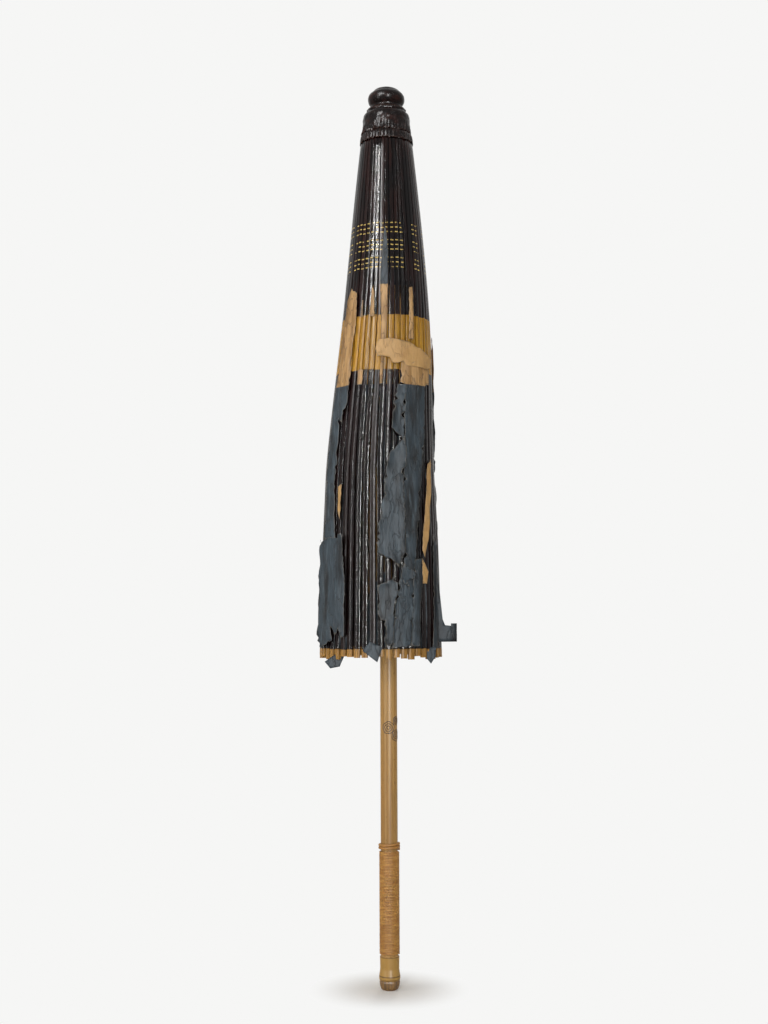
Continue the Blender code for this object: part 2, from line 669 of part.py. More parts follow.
def catch_mesh():
    """The sprung leaf: its foot deep in the shaft's slot and its nose proud of the shaft.

    The origin is at the foot, on the axis that the leaf bends about."""
    nose_x = SHAFT_RADIUS + CATCH_PROUD - catch_foot_x()
    outline = [
        (-CATCH_THICKNESS / 2, 0), (CATCH_THICKNESS / 2, 0),
        (nose_x, CATCH_LENGTH - 5 * MM), (nose_x, CATCH_LENGTH),
        (nose_x - CATCH_PROUD - 2.2 * MM, CATCH_LENGTH),
        (nose_x - CATCH_PROUD - 2.2 * MM, CATCH_LENGTH - 6 * MM),
    ]
    curve = bpy.data.curves.new("catch_spring", "CURVE")
    curve.dimensions = "2D"
    curve.fill_mode = "BOTH"
    curve.extrude = CATCH_WIDTH / 2
    spline = curve.splines.new("POLY")
    spline.points.add(len(outline) - 1)
    for point, (x, z) in zip(spline.points, outline):
        point.co = (x, z, 0, 1)
    spline.use_cyclic_u = True
    mesh = settled(loose("catch_spring", curve))
    shape = bmesh.new()
    shape.from_mesh(mesh)
    bmesh.ops.remove_doubles(shape, verts=shape.verts, dist=0.00001)
    bmesh.ops.rotate(shape, matrix=Matrix.Rotation(math.pi / 2, 3, "X"), verts=shape.verts)
    bmesh.ops.recalc_face_normals(shape, faces=shape.faces)
    shape.to_mesh(mesh)
    shape.free()
    return mesh


def catch_foot_x():
    return SHAFT_RADIUS - CATCH_SLOT_DEPTH + CATCH_THICKNESS / 2 + GAP


# --- assembly ---

clear_scene()
UMBRELLA = new_collection("oil_paper_umbrella")
CUTTERS = new_collection("cutters")

LACQUER = material("black_lacquer", (0.018, 0.010, 0.009), 0.25)
RIB_LACQUER = material("lacquered_bamboo", (0.022, 0.014, 0.013), 0.32)
BAMBOO = material("bamboo", (0.48, 0.28, 0.12), 0.45)
CANE = material("cane", (0.42, 0.24, 0.11), 0.55)
WOOD = material("hub_wood", (0.36, 0.22, 0.11), 0.6)
THREAD = material("thread", (0.30, 0.27, 0.22), 0.8)
PAPER = material("oiled_paper", (0.045, 0.058, 0.066), 0.6)
DARK = material("dark_cap", (0.10, 0.07, 0.05), 0.45)

add("shaft", smooth(settled(shaft_object())), UMBRELLA, BAMBOO)
add("butt_cap", smooth(settled(butt_cap_object())), UMBRELLA, DARK)
add("grip_wrap", smooth(settled(grip_wrap_object())), UMBRELLA, CANE)
add("grip_binding", smooth(settled(grip_binding_object())), UMBRELLA, CANE)
add("top_hub", smooth(settled(top_hub_object())), UMBRELLA, WOOD)
hub_ring = ring("hub_thread", PIVOT_RADIUS, THREAD_RADIUS, HUB_PIVOT_Z)
add("hub_thread", smooth(settled(hub_ring)), UMBRELLA, THREAD)
add("crown_collar", smooth(settled(collar_object())), UMBRELLA, LACQUER)
add("crown_knob", smooth(settled(knob_object())), UMBRELLA, LACQUER)
pin_place = (0, 0, DRUM_TOP_Z - DRUM_HEIGHT / 2)
add("crown_pin", smooth(crown_pin_mesh()), UMBRELLA, WOOD, origin=pin_place)
catch_place = (catch_foot_x(), 0, CATCH_TOP_Z - CATCH_LENGTH)
add("catch_spring", catch_mesh(), UMBRELLA, BAMBOO, origin=catch_place)

runner_place = (PIVOT_RADIUS, 0, RUNNER_Z)
runner = add("runner_hub", smooth(settled(runner_object())), UMBRELLA, WOOD, origin=runner_place)
runner.location.x = -PIVOT_RADIUS
runner_ring = ring("runner_thread", PIVOT_RADIUS, THREAD_RADIUS, 0)
tie = add("runner_thread", smooth(settled(runner_ring)), UMBRELLA, THREAD, origin=runner_place)
tie.location.x = -PIVOT_RADIUS

RIB = rib_mesh()
STRETCHER = stretcher_mesh()
GROUP = stretcher_group_mesh(STRETCHER)
GORE = gore_mesh()
for i in range(MAIN_RIBS):
    turn = 2 * math.pi * i / MAIN_RIBS
    number = f"{i + 1:02d}"
    add("rib_" + number, RIB, UMBRELLA, RIB_LACQUER, origin=(PIVOT_RADIUS, 0, HUB_PIVOT_Z), turn=turn)
    add("stretcher_" + number, STRETCHER, UMBRELLA, BAMBOO, origin=(MID_RADIUS, 0, MID_Z), turn=turn,
        lean=FOLDED_ANGLE)
    add("stretcher_group_" + number, GROUP, UMBRELLA, BAMBOO, origin=(0, 0, group_apex_z()), turn=turn)
    add("gore_" + number, GORE, UMBRELLA, PAPER, origin=(0, 0, gore_apex_z()), turn=turn)
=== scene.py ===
"""Looks of a folded oil paper umbrella: lacquered ribs, torn charcoal paper and a cane-bound grip.

Metres, +Z up the shaft, origin at the butt. Every moving piece rides on a body of the
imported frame. The frame has one main rib in four as a body of its own; the three ribs laid
in between, their stretchers and the paper spread between one main rib and the next.
"""

from __future__ import annotations

import logging
import math
import random
from collections.abc import Callable, Sequence
from dataclasses import dataclass
from enum import Enum

import bmesh
import bpy
import numpy as np
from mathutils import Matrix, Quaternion, Vector, noise
from mathutils.geometry import intersect_point_line


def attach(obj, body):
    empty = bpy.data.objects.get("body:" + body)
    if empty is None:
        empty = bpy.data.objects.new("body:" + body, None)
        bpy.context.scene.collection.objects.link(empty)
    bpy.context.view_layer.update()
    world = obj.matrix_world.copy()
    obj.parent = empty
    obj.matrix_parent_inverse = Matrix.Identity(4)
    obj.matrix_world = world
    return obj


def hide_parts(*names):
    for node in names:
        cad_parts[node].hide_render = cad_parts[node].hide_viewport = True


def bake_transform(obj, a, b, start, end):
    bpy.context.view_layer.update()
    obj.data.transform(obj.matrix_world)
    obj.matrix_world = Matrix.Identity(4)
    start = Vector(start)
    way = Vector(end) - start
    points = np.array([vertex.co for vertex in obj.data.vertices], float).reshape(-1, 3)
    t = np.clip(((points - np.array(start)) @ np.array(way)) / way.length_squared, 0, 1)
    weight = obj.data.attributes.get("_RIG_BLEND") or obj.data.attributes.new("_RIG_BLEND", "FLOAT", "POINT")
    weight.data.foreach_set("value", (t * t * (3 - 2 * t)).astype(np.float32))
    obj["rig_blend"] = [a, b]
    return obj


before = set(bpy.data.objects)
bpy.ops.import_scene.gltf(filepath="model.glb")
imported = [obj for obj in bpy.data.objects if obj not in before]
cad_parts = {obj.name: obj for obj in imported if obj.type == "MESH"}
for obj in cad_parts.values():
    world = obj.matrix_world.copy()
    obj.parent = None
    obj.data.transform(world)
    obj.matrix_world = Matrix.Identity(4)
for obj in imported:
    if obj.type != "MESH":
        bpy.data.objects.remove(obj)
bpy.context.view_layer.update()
LOG = logging.getLogger("umbrella")

MM = 0.001
FRONT = math.radians(-90)  # the way the umbrella faces

Pair = tuple[float, float]
Colour = tuple[float, float, float, float]
Socket = bpy.types.NodeSocket
Value = Socket | float | Colour | Vector  # what a shader socket takes: a link, a number, a colour or a place
Inputs = dict[str | int, Value]


# --- shared sizes ---


@dataclass(frozen=True)
class Bundle:
    """The folded ribs: how many there are, where they hang and how they bow."""

    sectors: int = 12
    ribs_per_sector: int = 4
    pivot_radius: float = 15 * MM
    hub_z: float = 737.5 * MM
    runner_z: float = 329.42 * MM
    mid_z: float = 533.46 * MM
    mid_radius: float = 34.81 * MM
    link: float = 205 * MM
    tip_z: float = 281 * MM
    hem_z: float = 289 * MM
    top_radius: float = 22 * MM
    spread: float = 0.116
    bow: float = 0.107
    shoulder_drop: float = 8 * MM
    lean_by: float = 6.6 * MM  # how far the ribs hang to one side at their tips
    lean_low: float = 440 * MM
    lean_high: float = 645 * MM

    @property
    def ribs(self) -> int:
        """How many ribs there are in all."""
        return self.sectors * self.ribs_per_sector

    @property
    def pitch(self) -> float:
        """The angle from one rib to the next."""
        return 2 * math.pi / self.ribs

    def radius(self, z: float) -> float:
        """Outer radius of the folded ribs at height z."""
        drop = max(self.hub_z - z, 0.0)
        return self.top_radius + self.spread * drop - self.bow * drop * drop

    def lean(self, z: float) -> Vector:
        """How far the folded ribs have sagged to one side at height z."""
        t = min(1.0, max(0.0, (self.lean_high - z) / (self.lean_high - self.lean_low)))
        return Vector((-self.lean_by * t**2.6 * (3 - 2 * t), 0, 0))


BUNDLE = Bundle()


class Place(Enum):
    """Where a material reads its position."""

    BODY = "body"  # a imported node, whose mesh stays in its own frame
    REST = "rest"  # a piece that bends, which stores where each point lies when folded


# --- small tools ---


def linear(code: str) -> Colour:
    """Turns an sRGB hex colour to linear.

    Args:
        code: Six hex digits after a hash.

    Returns:
        Linear red, green, blue and an alpha of 1.
    """
    values = [int(code[i : i + 2], 16) / 255 for i in (1, 3, 5)]
    curve = [v / 12.92 if v <= 0.04045 else ((v + 0.055) / 1.055) ** 2.4 for v in values]
    return (curve[0], curve[1], curve[2], 1.0)


def polar(radius: float, angle: float, z: float) -> Vector:
    """A point at a radius and angle round the shaft."""
    return Vector((radius * math.cos(angle), radius * math.sin(angle), z))


def wander(x: float, y: float, z: float = 0.0) -> float:
    """Smooth noise between about -1 and 1 that is the same in each run."""
    return noise.noise(Vector((x, y, z)))


def add_node(
    tree: bpy.types.NodeTree, kind: str, inputs: Inputs | None = None, **settings: object
) -> bpy.types.Node:
    """Adds a shader node with its settings, values and links.

    Args:
        tree: The node tree.
        kind: The node's type name without its "ShaderNode" prefix.
        inputs: Socket name or index to a value, or to an output socket to link from.
        **settings: Properties of the node.

    Returns:
        The new node.
    """
    node = tree.nodes.new("ShaderNode" + kind)
    for name, value in settings.items():
        setattr(node, name, value)
    for key, value in (inputs or {}).items():
        if isinstance(value, Socket):
            tree.links.new(value, node.inputs[key])
        else:
            node.inputs[key].default_value = value
    return node


class Recipe:
    """A material under way: its node tree, its shader and the patterns that several finishes share."""

    def __init__(self, name: str, place: Place) -> None:
        """Starts a material.

        Args:
            name: The material's name.
            place: Where it reads its position.
        """
        self.material = bpy.data.materials.new(name)
        self.material.use_nodes = True
        self.tree = self.material.node_tree
        self.shader = self.tree.nodes["Principled BSDF"]
        if place is Place.BODY:
            self.where = self.node("TexCoord").outputs["Object"]
        else:
            self.where = self.node("Attribute", attribute_name="rest").outputs["Vector"]
        self.split = self.node("SeparateXYZ", {0: self.where})

    def node(self, kind: str, inputs: Inputs | None = None, **settings: object) -> bpy.types.Node:
        """Adds a node to this material; see add_node."""
        return add_node(self.tree, kind, inputs, **settings)

    def math(self, operation: str, *values: Socket | float) -> Socket:
        """Adds a Math node with the given operands and gives its result."""
        return self.node("Math", dict(enumerate(values)), operation=operation).outputs[0]

    def grain(self, across: float, along: float, detail: float = 3.0, seed: float = 0.0) -> Socket:
        """Noise drawn out along the shaft.

        Args:
            across: Size of a blotch across, in millimetres.
            along: Size of a blotch along the shaft, in millimetres.
            detail: How many finer layers it has.
            seed: Shifts the pattern.

        Returns:
            A factor socket around 0.5.
        """
        scale = (1 / (across * MM), 1 / (across * MM), 1 / (along * MM))
        drawn = self.node("VectorMath", {0: self.where, 1: scale}, operation="MULTIPLY")
        shift = self.node("VectorMath", {0: drawn.outputs[0], 1: (seed, seed, seed)}, operation="ADD")
        return self.node("TexNoise", {"Vector": shift.outputs[0], "Scale": 1.0, "Detail": detail}).outputs[0]

    def step(self, value: Socket, low: float, high: float) -> Socket:
        """A factor that rises smoothly.

        Args:
            value: What it reads.
            low: The value where the factor is 0.
            high: The value where it is 1, which may be the smaller one.

        Returns:
            The factor's socket.
        """
        ramp = self.node(
            "MapRange", {"Value": value, "From Min": low, "From Max": high}, interpolation_type="SMOOTHSTEP"
        )
        return ramp.outputs[0]

    def ramp(self, value: Socket, span: Pair, result: Pair) -> Socket:
        """A number that follows another along a straight line, and stops at its ends.

        Args:
            value: What it reads.
            span: The lowest and highest value that count.
            result: The number at each of them.

        Returns:
            The number's socket.
        """
        ends = {"From Min": span[0], "From Max": span[1], "To Min": result[0], "To Max": result[1]}
        return self.node("MapRange", {"Value": value, **ends}).outputs[0]

    def attribute(self, name: str) -> Socket:
        """The value that a mesh carries under a name."""
        return self.node("Attribute", attribute_name=name).outputs["Fac"]

    def cycle(self, value: Socket, length: float) -> Socket:
        """How far a number is past the last whole multiple of a length."""
        return self.math("MULTIPLY", self.math("FRACT", self.math("DIVIDE", value, length)), length)

    def band(self, value: Socket, low: float, high: float, blur: float) -> Socket:
        """A factor that is 1 from low to high and 0 outside, with edges that blur over twice a distance.

        Args:
            value: What it reads.
            low: Where the band starts.
            high: Where it ends.
            blur: Half the width of each edge.

        Returns:
            The factor's socket.
        """
        rise = self.step(value, low - blur, low + blur)
        return self.math("MULTIPLY", rise, self.step(value, high + blur, high - blur))

    def mix(self, factor: Socket | float, first: Socket | Colour, second: Socket | Colour) -> Socket:
        """A colour between first and second."""
        return self.node("Mix", {0: factor, 6: first, 7: second}, data_type="RGBA").outputs[2]

    def shade(self, colour: Socket | Colour, factor: Socket, low: float, high: float) -> Socket:
        """Darkens or lightens a colour by a pattern.

        Args:
            colour: The colour.
            factor: The pattern, a factor around 0.5.
            low: What the colour is multiplied by where the pattern is low.
            high: What it is multiplied by where the pattern is high.

        Returns:
            The shaded colour's socket.
        """
        level = self.ramp(factor, (0.25, 0.75), (low, high))
        plain = colour if isinstance(colour, Socket) else colour[:3]
        return self.node("VectorMath", {0: plain, "Scale": level}, operation="SCALE").outputs[0]

    def bump(
        self, height: Socket, depth: float, strength: float = 1.0, under: Socket | None = None
    ) -> Socket:
        """Turns a height pattern to a normal.

        Args:
            height: The pattern.
            depth: How deep it is, in metres.
            strength: How much of it counts.
            under: The normal of a pattern that it lies on.

        Returns:
            The normal's socket.
        """
        inputs = {"Height": height, "Distance": depth, "Strength": strength}
        if under is not None:
            inputs["Normal"] = under
        return self.node("Bump", inputs).outputs[0]

    def finish(
        self, colour: Socket | Colour, roughness: Socket | float, normal: Socket | None = None,
        **uniform: float,
    ) -> bpy.types.Material:
        """Plugs the shader in.

        Args:
            colour: A colour socket or value.
            roughness: A socket or value.
            normal: A normal socket.
            **uniform: Values of other shader sockets, with underscores for spaces.

        Returns:
            The finished material.
        """
        for name, value in (("Base Color", colour), ("Roughness", roughness), ("Normal", normal)):
            if isinstance(value, Socket):
                self.tree.links.new(value, self.shader.inputs[name])
            elif value is not None:
                self.shader.inputs[name].default_value = value
        for name, value in uniform.items():
            self.shader.inputs[name.replace("_", " ")].default_value = value
        return self.material


# --- finishes ---


@dataclass(frozen=True)
class RibLacquer:
    """Brushed black-brown lacquer on split bamboo: glossy, with beads and drags along the rib.

    An ochre band crosses every rib, nine rows of gold dashes lie above it, and the tips are bare.
    """

    dark: str = "#0C0708"
    brown: str = "#2A1411"
    ochre: str = "#C59430"
    ochre_deep: str = "#996C1C"
    gold: str = "#CDB265"
    tip: str = "#B98D48"
    tip_top: float = 288.5 * MM
    ochre_low: float = 524 * MM
    ochre_high: float = 571.5 * MM
    rows_low: float = 613 * MM
    rows_high: float = 653.5 * MM
    row_pitch: float = 4.1 * MM
    group_pitch: float = 15.5 * MM
    row_height: float = 0.95 * MM

    def build(self) -> bpy.types.Material:
        """Makes the material.

        Returns:
            The material, ready to assign.
        """
        r = Recipe("lacquered_split_bamboo", Place.REST)
        tint = r.attribute("tint")
        z = r.math("ADD", r.split.outputs[2], r.math("MULTIPLY", r.math("SUBTRACT", tint, 0.5), 0.8 * MM))
        blotch = r.grain(5, 60, 3)
        brown = r.step(r.math("ADD", blotch, r.math("MULTIPLY", tint, 0.18)), 0.45, 0.78)
        brown = r.math("MULTIPLY", brown, r.ramp(z, (470 * MM, 600 * MM), (0.4, 0.85)))
        lacquer = r.mix(brown, linear(self.dark), linear(self.brown))
        fibre = r.grain(0.9, 60, 4, 3)
        ochre = r.mix(r.step(fibre, 0.3, 0.75), linear(self.ochre_deep), linear(self.ochre))
        ochre = r.shade(ochre, tint, 0.82, 1.08)
        in_ochre = r.band(z, self.ochre_low, self.ochre_high, 0.3 * MM)
        colour = r.mix(in_ochre, lacquer, ochre)
        up = r.math("SUBTRACT", z, self.rows_low)
        in_group = r.cycle(up, self.group_pitch)
        in_row = r.cycle(in_group, self.row_pitch)
        on_row = r.math("MULTIPLY", r.math("LESS_THAN", in_row, self.row_height),
                        r.math("LESS_THAN", in_group, 2.4 * self.row_pitch))
        in_rows = r.math("MULTIPLY", r.math("GREATER_THAN", up, 0.0),
                         r.math("LESS_THAN", z, self.rows_high))
        worn = r.step(r.grain(2.5, 6, 2, 9), 0.36, 0.44)
        marked = r.step(r.attribute("marked"), 0.02, 0.1)
        dash = r.math("MULTIPLY", r.math("MULTIPLY", on_row, in_rows), r.math("MULTIPLY", worn, marked))
        colour = r.mix(dash, colour, linear(self.gold))
        bare = r.mix(r.step(r.grain(0.5, 12, 3, 5), 0.35, 0.7), linear("#86602C"), linear(self.tip))
        on_tip = r.step(z, self.tip_top + 0.5 * MM, self.tip_top - 0.5 * MM)
        colour = r.mix(on_tip, colour, bare)
        scuff = r.step(r.grain(0.7, 5, 4, 21), 0.68, 0.78)
        colour = r.mix(r.math("MULTIPLY", scuff, 0.2), colour, linear("#4A342C"))
        normal = r.bump(r.grain(1.1, 2.6, 2, 11), 0.3 * MM, 0.34)
        normal = r.bump(r.grain(0.35, 20, 2, 2), 0.1 * MM, 0.4, normal)
        rough = r.ramp(r.grain(1.5, 9, 3, 31), (0.3, 0.7), (0.06, 0.13))
        rough = r.math("ADD", rough, r.math("MULTIPLY", r.step(tint, 0.4, 0.8), 0.17))
        rough = r.math("ADD", rough, r.math("MULTIPLY", on_tip, 0.25))
        rough = r.math("ADD", rough, r.math("MULTIPLY", in_ochre, 0.12))
        return r.finish(colour, rough, normal, Specular_IOR_Level=0.135)


@dataclass(frozen=True)
class CrownLacquer:
    """Thick lacquer over paper and turned wood: near black, wrinkled, glossy, with worn brown edges."""

    dark: str = "#120A0A"
    brown: str = "#2C1815"

    def build(self) -> bpy.types.Material:
        """Makes the material.

        Returns:
            The material, ready to assign.
        """
        r = Recipe("crown_lacquer", Place.REST)
        colour = r.mix(r.step(r.grain(6, 5, 4), 0.45, 0.7), linear(self.dark), linear(self.brown))
        worn = r.node("NewGeometry").outputs["Pointiness"]
        colour = r.mix(r.math("MULTIPLY", r.step(worn, 0.515, 0.56), 0.35), colour, linear("#4E3830"))
        normal = r.bump(r.grain(6, 4, 2, 7), 0.7 * MM, 0.35)
        rough = r.ramp(r.grain(3, 3, 3, 13), (0.0, 1.0), (0.18, 0.38))
        return r.finish(colour, rough, normal, Specular_IOR_Level=0.11)


@dataclass(frozen=True)
class OiledPaper:
    """Handmade kozo paper, oiled and dyed: charcoal slate with one tan ring, matt, fibrous and creased, with
    painted shade along its creases and, in part, in its dark blotches.
    """

    slate: str = "#313D46"
    slate_light: str = "#4C5B65"
    slate_dark: str = "#10161A"
    tan: str = "#C29A66"
    tan_dark: str = "#9A7444"
    ring_low: float = 511.5 * MM
    ring_high: float = 598 * MM
    tone: str = "ringed"

    def build(self) -> bpy.types.Material:
        """Makes the material.

        Returns:
            The material, ready to assign.
        """
        r = Recipe("oiled_paper_" + self.tone, Place.REST)
        waver = r.math("SUBTRACT", r.grain(3, 3, 2, 4), 0.5)
        z = r.math("ADD", r.split.outputs[2], r.math("MULTIPLY", waver, 1 * MM))
        # Large dark blotches of slate_dark: partly the paper's uneven dye, partly painted shade standing in
        # for the shadows of its crumples.
        cloud = r.grain(11, 38, 5, 1)
        slate = r.mix(r.step(cloud, 0.36, 0.58), linear(self.slate_dark), linear(self.slate))
        slate = r.mix(r.math("MULTIPLY", r.step(r.grain(4, 22, 4, 8), 0.5, 0.75), 0.7), slate,
                      linear(self.slate_light))
        tan = r.mix(r.step(r.grain(5, 40, 4, 17), 0.35, 0.62), linear(self.tan_dark), linear(self.tan))
        tan = r.shade(tan, r.grain(0.8, 25, 3, 6), 0.88, 1.08)
        if self.tone == "tan":
            colour = r.mix(r.step(r.grain(14, 14, 4, 33), 0.5, 0.8), linear("#C49B62"), linear("#A87C44"))
        elif self.tone == "slate":
            colour = slate
        elif self.tone == "charcoal":
            colour = r.shade(slate, cloud, 0.35, 0.75)
        else:
            colour = r.mix(r.band(z, self.ring_low, self.ring_high, 0.4 * MM), slate, tan)
        fibre = r.grain(0.5, 7, 3, 19)
        colour = r.shade(colour, fibre, 0.9, 1.1)
        edge = r.attribute("edge")
        rough_edge = r.math("ADD", edge, r.math("MULTIPLY", r.grain(1.2, 1.2, 2, 2), 0.5))
        frayed = r.math("MULTIPLY", r.step(rough_edge, 0.95, 1.3), 0.45)
        colour = r.mix(frayed, colour, linear("#7C7468"))
        # Painted shade: thin crease lines darken the colour to 0.22 of itself, at half strength on slate and
        # a fifth on tan paper; the same lines also dent the bump below.
        fold = r.math("ABSOLUTE", r.math("SUBTRACT", r.grain(9, 26, 4, 60), 0.5))
        crease = r.step(fold, 0.022, 0.004)
        depth = 0.2 if self.tone == "tan" else 0.5
        colour = r.mix(r.math("MULTIPLY", crease, depth), colour, r.shade(colour, crease, 0.22, 0.22))
        normal = r.bump(fibre, 0.12 * MM, 0.5)
        normal = r.bump(r.math("SUBTRACT", r.grain(4.5, 12, 4, 40), r.math("MULTIPLY", crease, 0.4)),
                        1.8 * MM, 0.6, normal)
        return r.finish(colour, 0.62, normal, Specular_IOR_Level=0.22)


@dataclass(frozen=True)
class Bamboo:
    """Polished madake bamboo culm: waxy tan skin with long darker fibres and a few age spots."""

    name: str = "polished_bamboo"
    pale: str = "#BF975A"
    deep: str = "#A2763A"
    place: Place = Place.BODY
    butt: bool = False

    def build(self) -> bpy.types.Material:
        """Makes the material.

        Returns:
            The material, ready to assign.
        """
        r = Recipe(self.name, self.place)
        z = r.split.outputs[2]
        colour = r.mix(r.step(r.grain(2.2, 210, 3, 2), 0.3, 0.7), linear(self.deep), linear(self.pale))
        fibre = r.grain(0.45, 30, 4, 5)
        colour = r.shade(colour, fibre, 0.86, 1.08)
        colour = r.shade(colour, r.grain(16, 90, 3, 11), 0.88, 1.06)
        spot = r.step(r.grain(1.6, 2.4, 1, 50), 0.73, 0.77)
        colour = r.mix(r.math("MULTIPLY", spot, 0.55), colour, linear("#5A3A1C"))
        if self.butt:
            root = r.step(z, 28.4 * MM, 27.4 * MM)
            colour = r.mix(r.math("MULTIPLY", root, 0.75), colour, linear("#AE8844"))
            for height, width, shade in ((11.7, 0.7, 0.85), (9.0, 0.5, 0.7), (27.6, 0.6, 0.6)):
                off = r.math("ABSOLUTE", r.math("SUBTRACT", z, height * MM))
                line = r.math("MULTIPLY", r.step(off, width * MM, 0.3 * width * MM), shade)
                colour = r.mix(line, colour, linear("#59401F"))
        normal = r.bump(fibre, 0.05 * MM, 0.5)
        rough = r.ramp(r.grain(4, 40, 3, 23), (0.0, 1.0), (0.3, 0.5))
        return r.finish(colour, rough, normal, Specular_IOR_Level=0.2, Coat_Weight=0.04, Coat_Roughness=0.25)


@dataclass(frozen=True)
class SplitCane:
    """Split cane wound wet and varnished: pinkish tan strips with fine fibres along their length."""

    pale: str = "#BC8C46"
    deep: str = "#A37034"

    def build(self) -> bpy.types.Material:
        """Makes the material.

        Returns:
            The material, ready to assign.
        """
        r = Recipe("wound_split_cane", Place.REST)
        colour = r.mix(r.step(r.grain(10, 1.7, 3, 3), 0.3, 0.72), linear(self.deep), linear(self.pale))
        colour = r.shade(colour, r.grain(14, 22, 3, 9), 0.88, 1.06)
        # Painted shade: the grooves between turns of cane are darkened towards #6E4A26, most where the noise
        # leaves the gap open.
        groove = r.attribute("edge")
        open_gap = r.step(r.grain(6, 1.5, 2, 77), 0.35, 0.6)
        groove_shade = r.math("MULTIPLY", r.math("MULTIPLY", r.step(groove, 0.55, 1.0), 0.75), open_gap)
        colour = r.mix(groove_shade, colour, linear("#6E4A26"))
        stain = r.step(r.grain(5, 5, 3, 41), 0.66, 0.76)
        colour = r.mix(r.math("MULTIPLY", stain, 0.35), colour, linear("#7A5128"))
        normal = r.bump(r.grain(9, 0.35, 3, 14), 0.08 * MM, 0.6)
        return r.finish(colour, 0.5, normal, Specular_IOR_Level=0.2, Coat_Weight=0.03, Coat_Roughness=0.3)


@dataclass(frozen=True)
class PlainWood:
    """Turned close-grained wood, or a dark end cap: fine long grain under a thin finish."""

    name: str
    pale: str
    deep: str
    rough: float

    def build(self) -> bpy.types.Material:
        """Makes the material.

        Returns:
            The material, ready to assign.
        """
        r = Recipe(self.name, Place.BODY)
        colour = r.mix(r.step(r.grain(1.6, 12, 4, 2), 0.3, 0.7), linear(self.deep), linear(self.pale))
        colour = r.shade(colour, r.grain(6, 7, 3, 20), 0.85, 1.08)
        return r.finish(colour, self.rough, r.bump(r.grain(0.5, 5, 3, 8), 0.1 * MM, 0.5))


@dataclass(frozen=True)
class CottonThread:
    """Twisted cotton thread, waxed: off-white gone grey, with a fine slanting twist."""

    colour: str = "#8C8270"

    def build(self) -> bpy.types.Material:
        """Makes the material.

        Returns:
            The material, ready to assign.
        """
        r = Recipe("cotton_thread", Place.BODY)
        twist = r.grain(0.5, 0.5, 2)
        return r.finish(r.shade(linear(self.colour), twist, 0.7, 1.1), 0.85, r.bump(twist, 0.15 * MM))


@dataclass(frozen=True)
class BurntLine:
    """A line burnt into bamboo with a hot point: dark brown and matt."""

    colour: str = "#1F0F08"

    def build(self) -> bpy.types.Material:
        """Makes the material.

        Returns:
            The material, ready to assign.
        """
        r = Recipe("burnt_line", Place.REST)
        return r.finish(r.shade(linear(self.colour), r.grain(1, 1, 3), 0.6, 1.3), 0.7)


# --- meshes ---


class Shape:
    """Vertices and faces under way, with each vertex's rest place, tint, edge and share of the spread."""

    def __init__(self) -> None:
        """Starts an empty shape."""
        self.points: list[Vector] = []
        self.faces: list[tuple[int, ...]] = []
        self.values: dict[str, list[float]] = {"tint": [], "edge": [], "share": []}
        self.marked: dict[int, float] = {}

    def point(self, place: Vector, tint: float = 0.5, edge: float = 0.0, share: float = 0.0) -> int:
        """Adds a vertex.

        Args:
            place: Where it lies.
            tint: Its random shade, from 0 to 1.
            edge: How near it is to a torn edge or a groove, from 0 to 1.
            share: Its share of the second body's motion.

        Returns:
            Its number.
        """
        self.points.append(place)
        for name, value in (("tint", tint), ("edge", edge), ("share", share)):
            self.values[name].append(value)
        return len(self.points) - 1

    def area(self) -> float:
        """Adds up the area of the faces.

        Returns:
            The area in square metres.
        """
        total = 0.0
        for face in self.faces:
            first = self.points[face[0]]
            for second, third in zip(face[1:], face[2:]):
                total += (self.points[second] - first).cross(self.points[third] - first).length / 2
        return total

    def tube(self, rings: Sequence[Sequence[int]], caps: bool = True, loop: bool = False) -> None:
        """Joins rings of vertices with quads.

        Args:
            rings: Lists of vertex numbers, each ring as long as the next.
            caps: Whether the first and last ring are filled.
            loop: Whether the last ring joins the first.
        """
        pairs = list(zip(rings, rings[1:]))
        if loop:
            pairs.append((rings[-1], rings[0]))
        for first, second in pairs:
            count = len(first)
            for i in range(count):
                j = (i + 1) % count
                self.faces.append((first[i], first[j], second[j], second[i]))
        if caps and not loop:
            self.faces.append(tuple(reversed(rings[0])))
            self.faces.append(tuple(rings[-1]))

    def grid(self, lines: Sequence[Sequence[int]]) -> None:
        """Joins lines of vertices with quads.

        Args:
            lines: Lists of vertex numbers, each as long as the next.
        """
        for lower, upper in zip(lines, lines[1:]):
            for a, b, c, d in zip(lower, lower[1:], upper[1:], upper):
                self.faces.append((a, b, c, d))

    def build(self, name: str, finish: bpy.types.Material, sharp: float = 40) -> bpy.types.Object:
        """Makes the object.

        Args:
            name: The object's name.
            finish: Its material.
            sharp: Edges steeper than this many degrees stay sharp.

        Returns:
            The new object.
        """
        mesh = bpy.data.meshes.new(name)
        mesh.from_pydata(self.points, [], self.faces)
        shape = bmesh.new()
        shape.from_mesh(mesh)
        bmesh.ops.recalc_face_normals(shape, faces=shape.faces)
        shape.to_mesh(mesh)
        shape.free()
        rest = mesh.attributes.new("rest", "FLOAT_VECTOR", "POINT")
        rest.data.foreach_set("vector", np.array(self.points, np.float32).ravel())
        marks = [self.marked.get(i, 0.0) for i in range(len(self.points))]
        for key, values in (("tint", self.values["tint"]), ("edge", self.values["edge"]), ("marked", marks)):
            layer = mesh.attributes.new(key, "FLOAT", "POINT")
            layer.data.foreach_set("value", np.array(values, np.float32))
        mesh.shade_smooth()
        mesh.set_sharp_from_angle(angle=math.radians(sharp))
        mesh.materials.append(finish)
        obj = bpy.data.objects.new(name, mesh)
        bpy.context.scene.collection.objects.link(obj)
        return obj


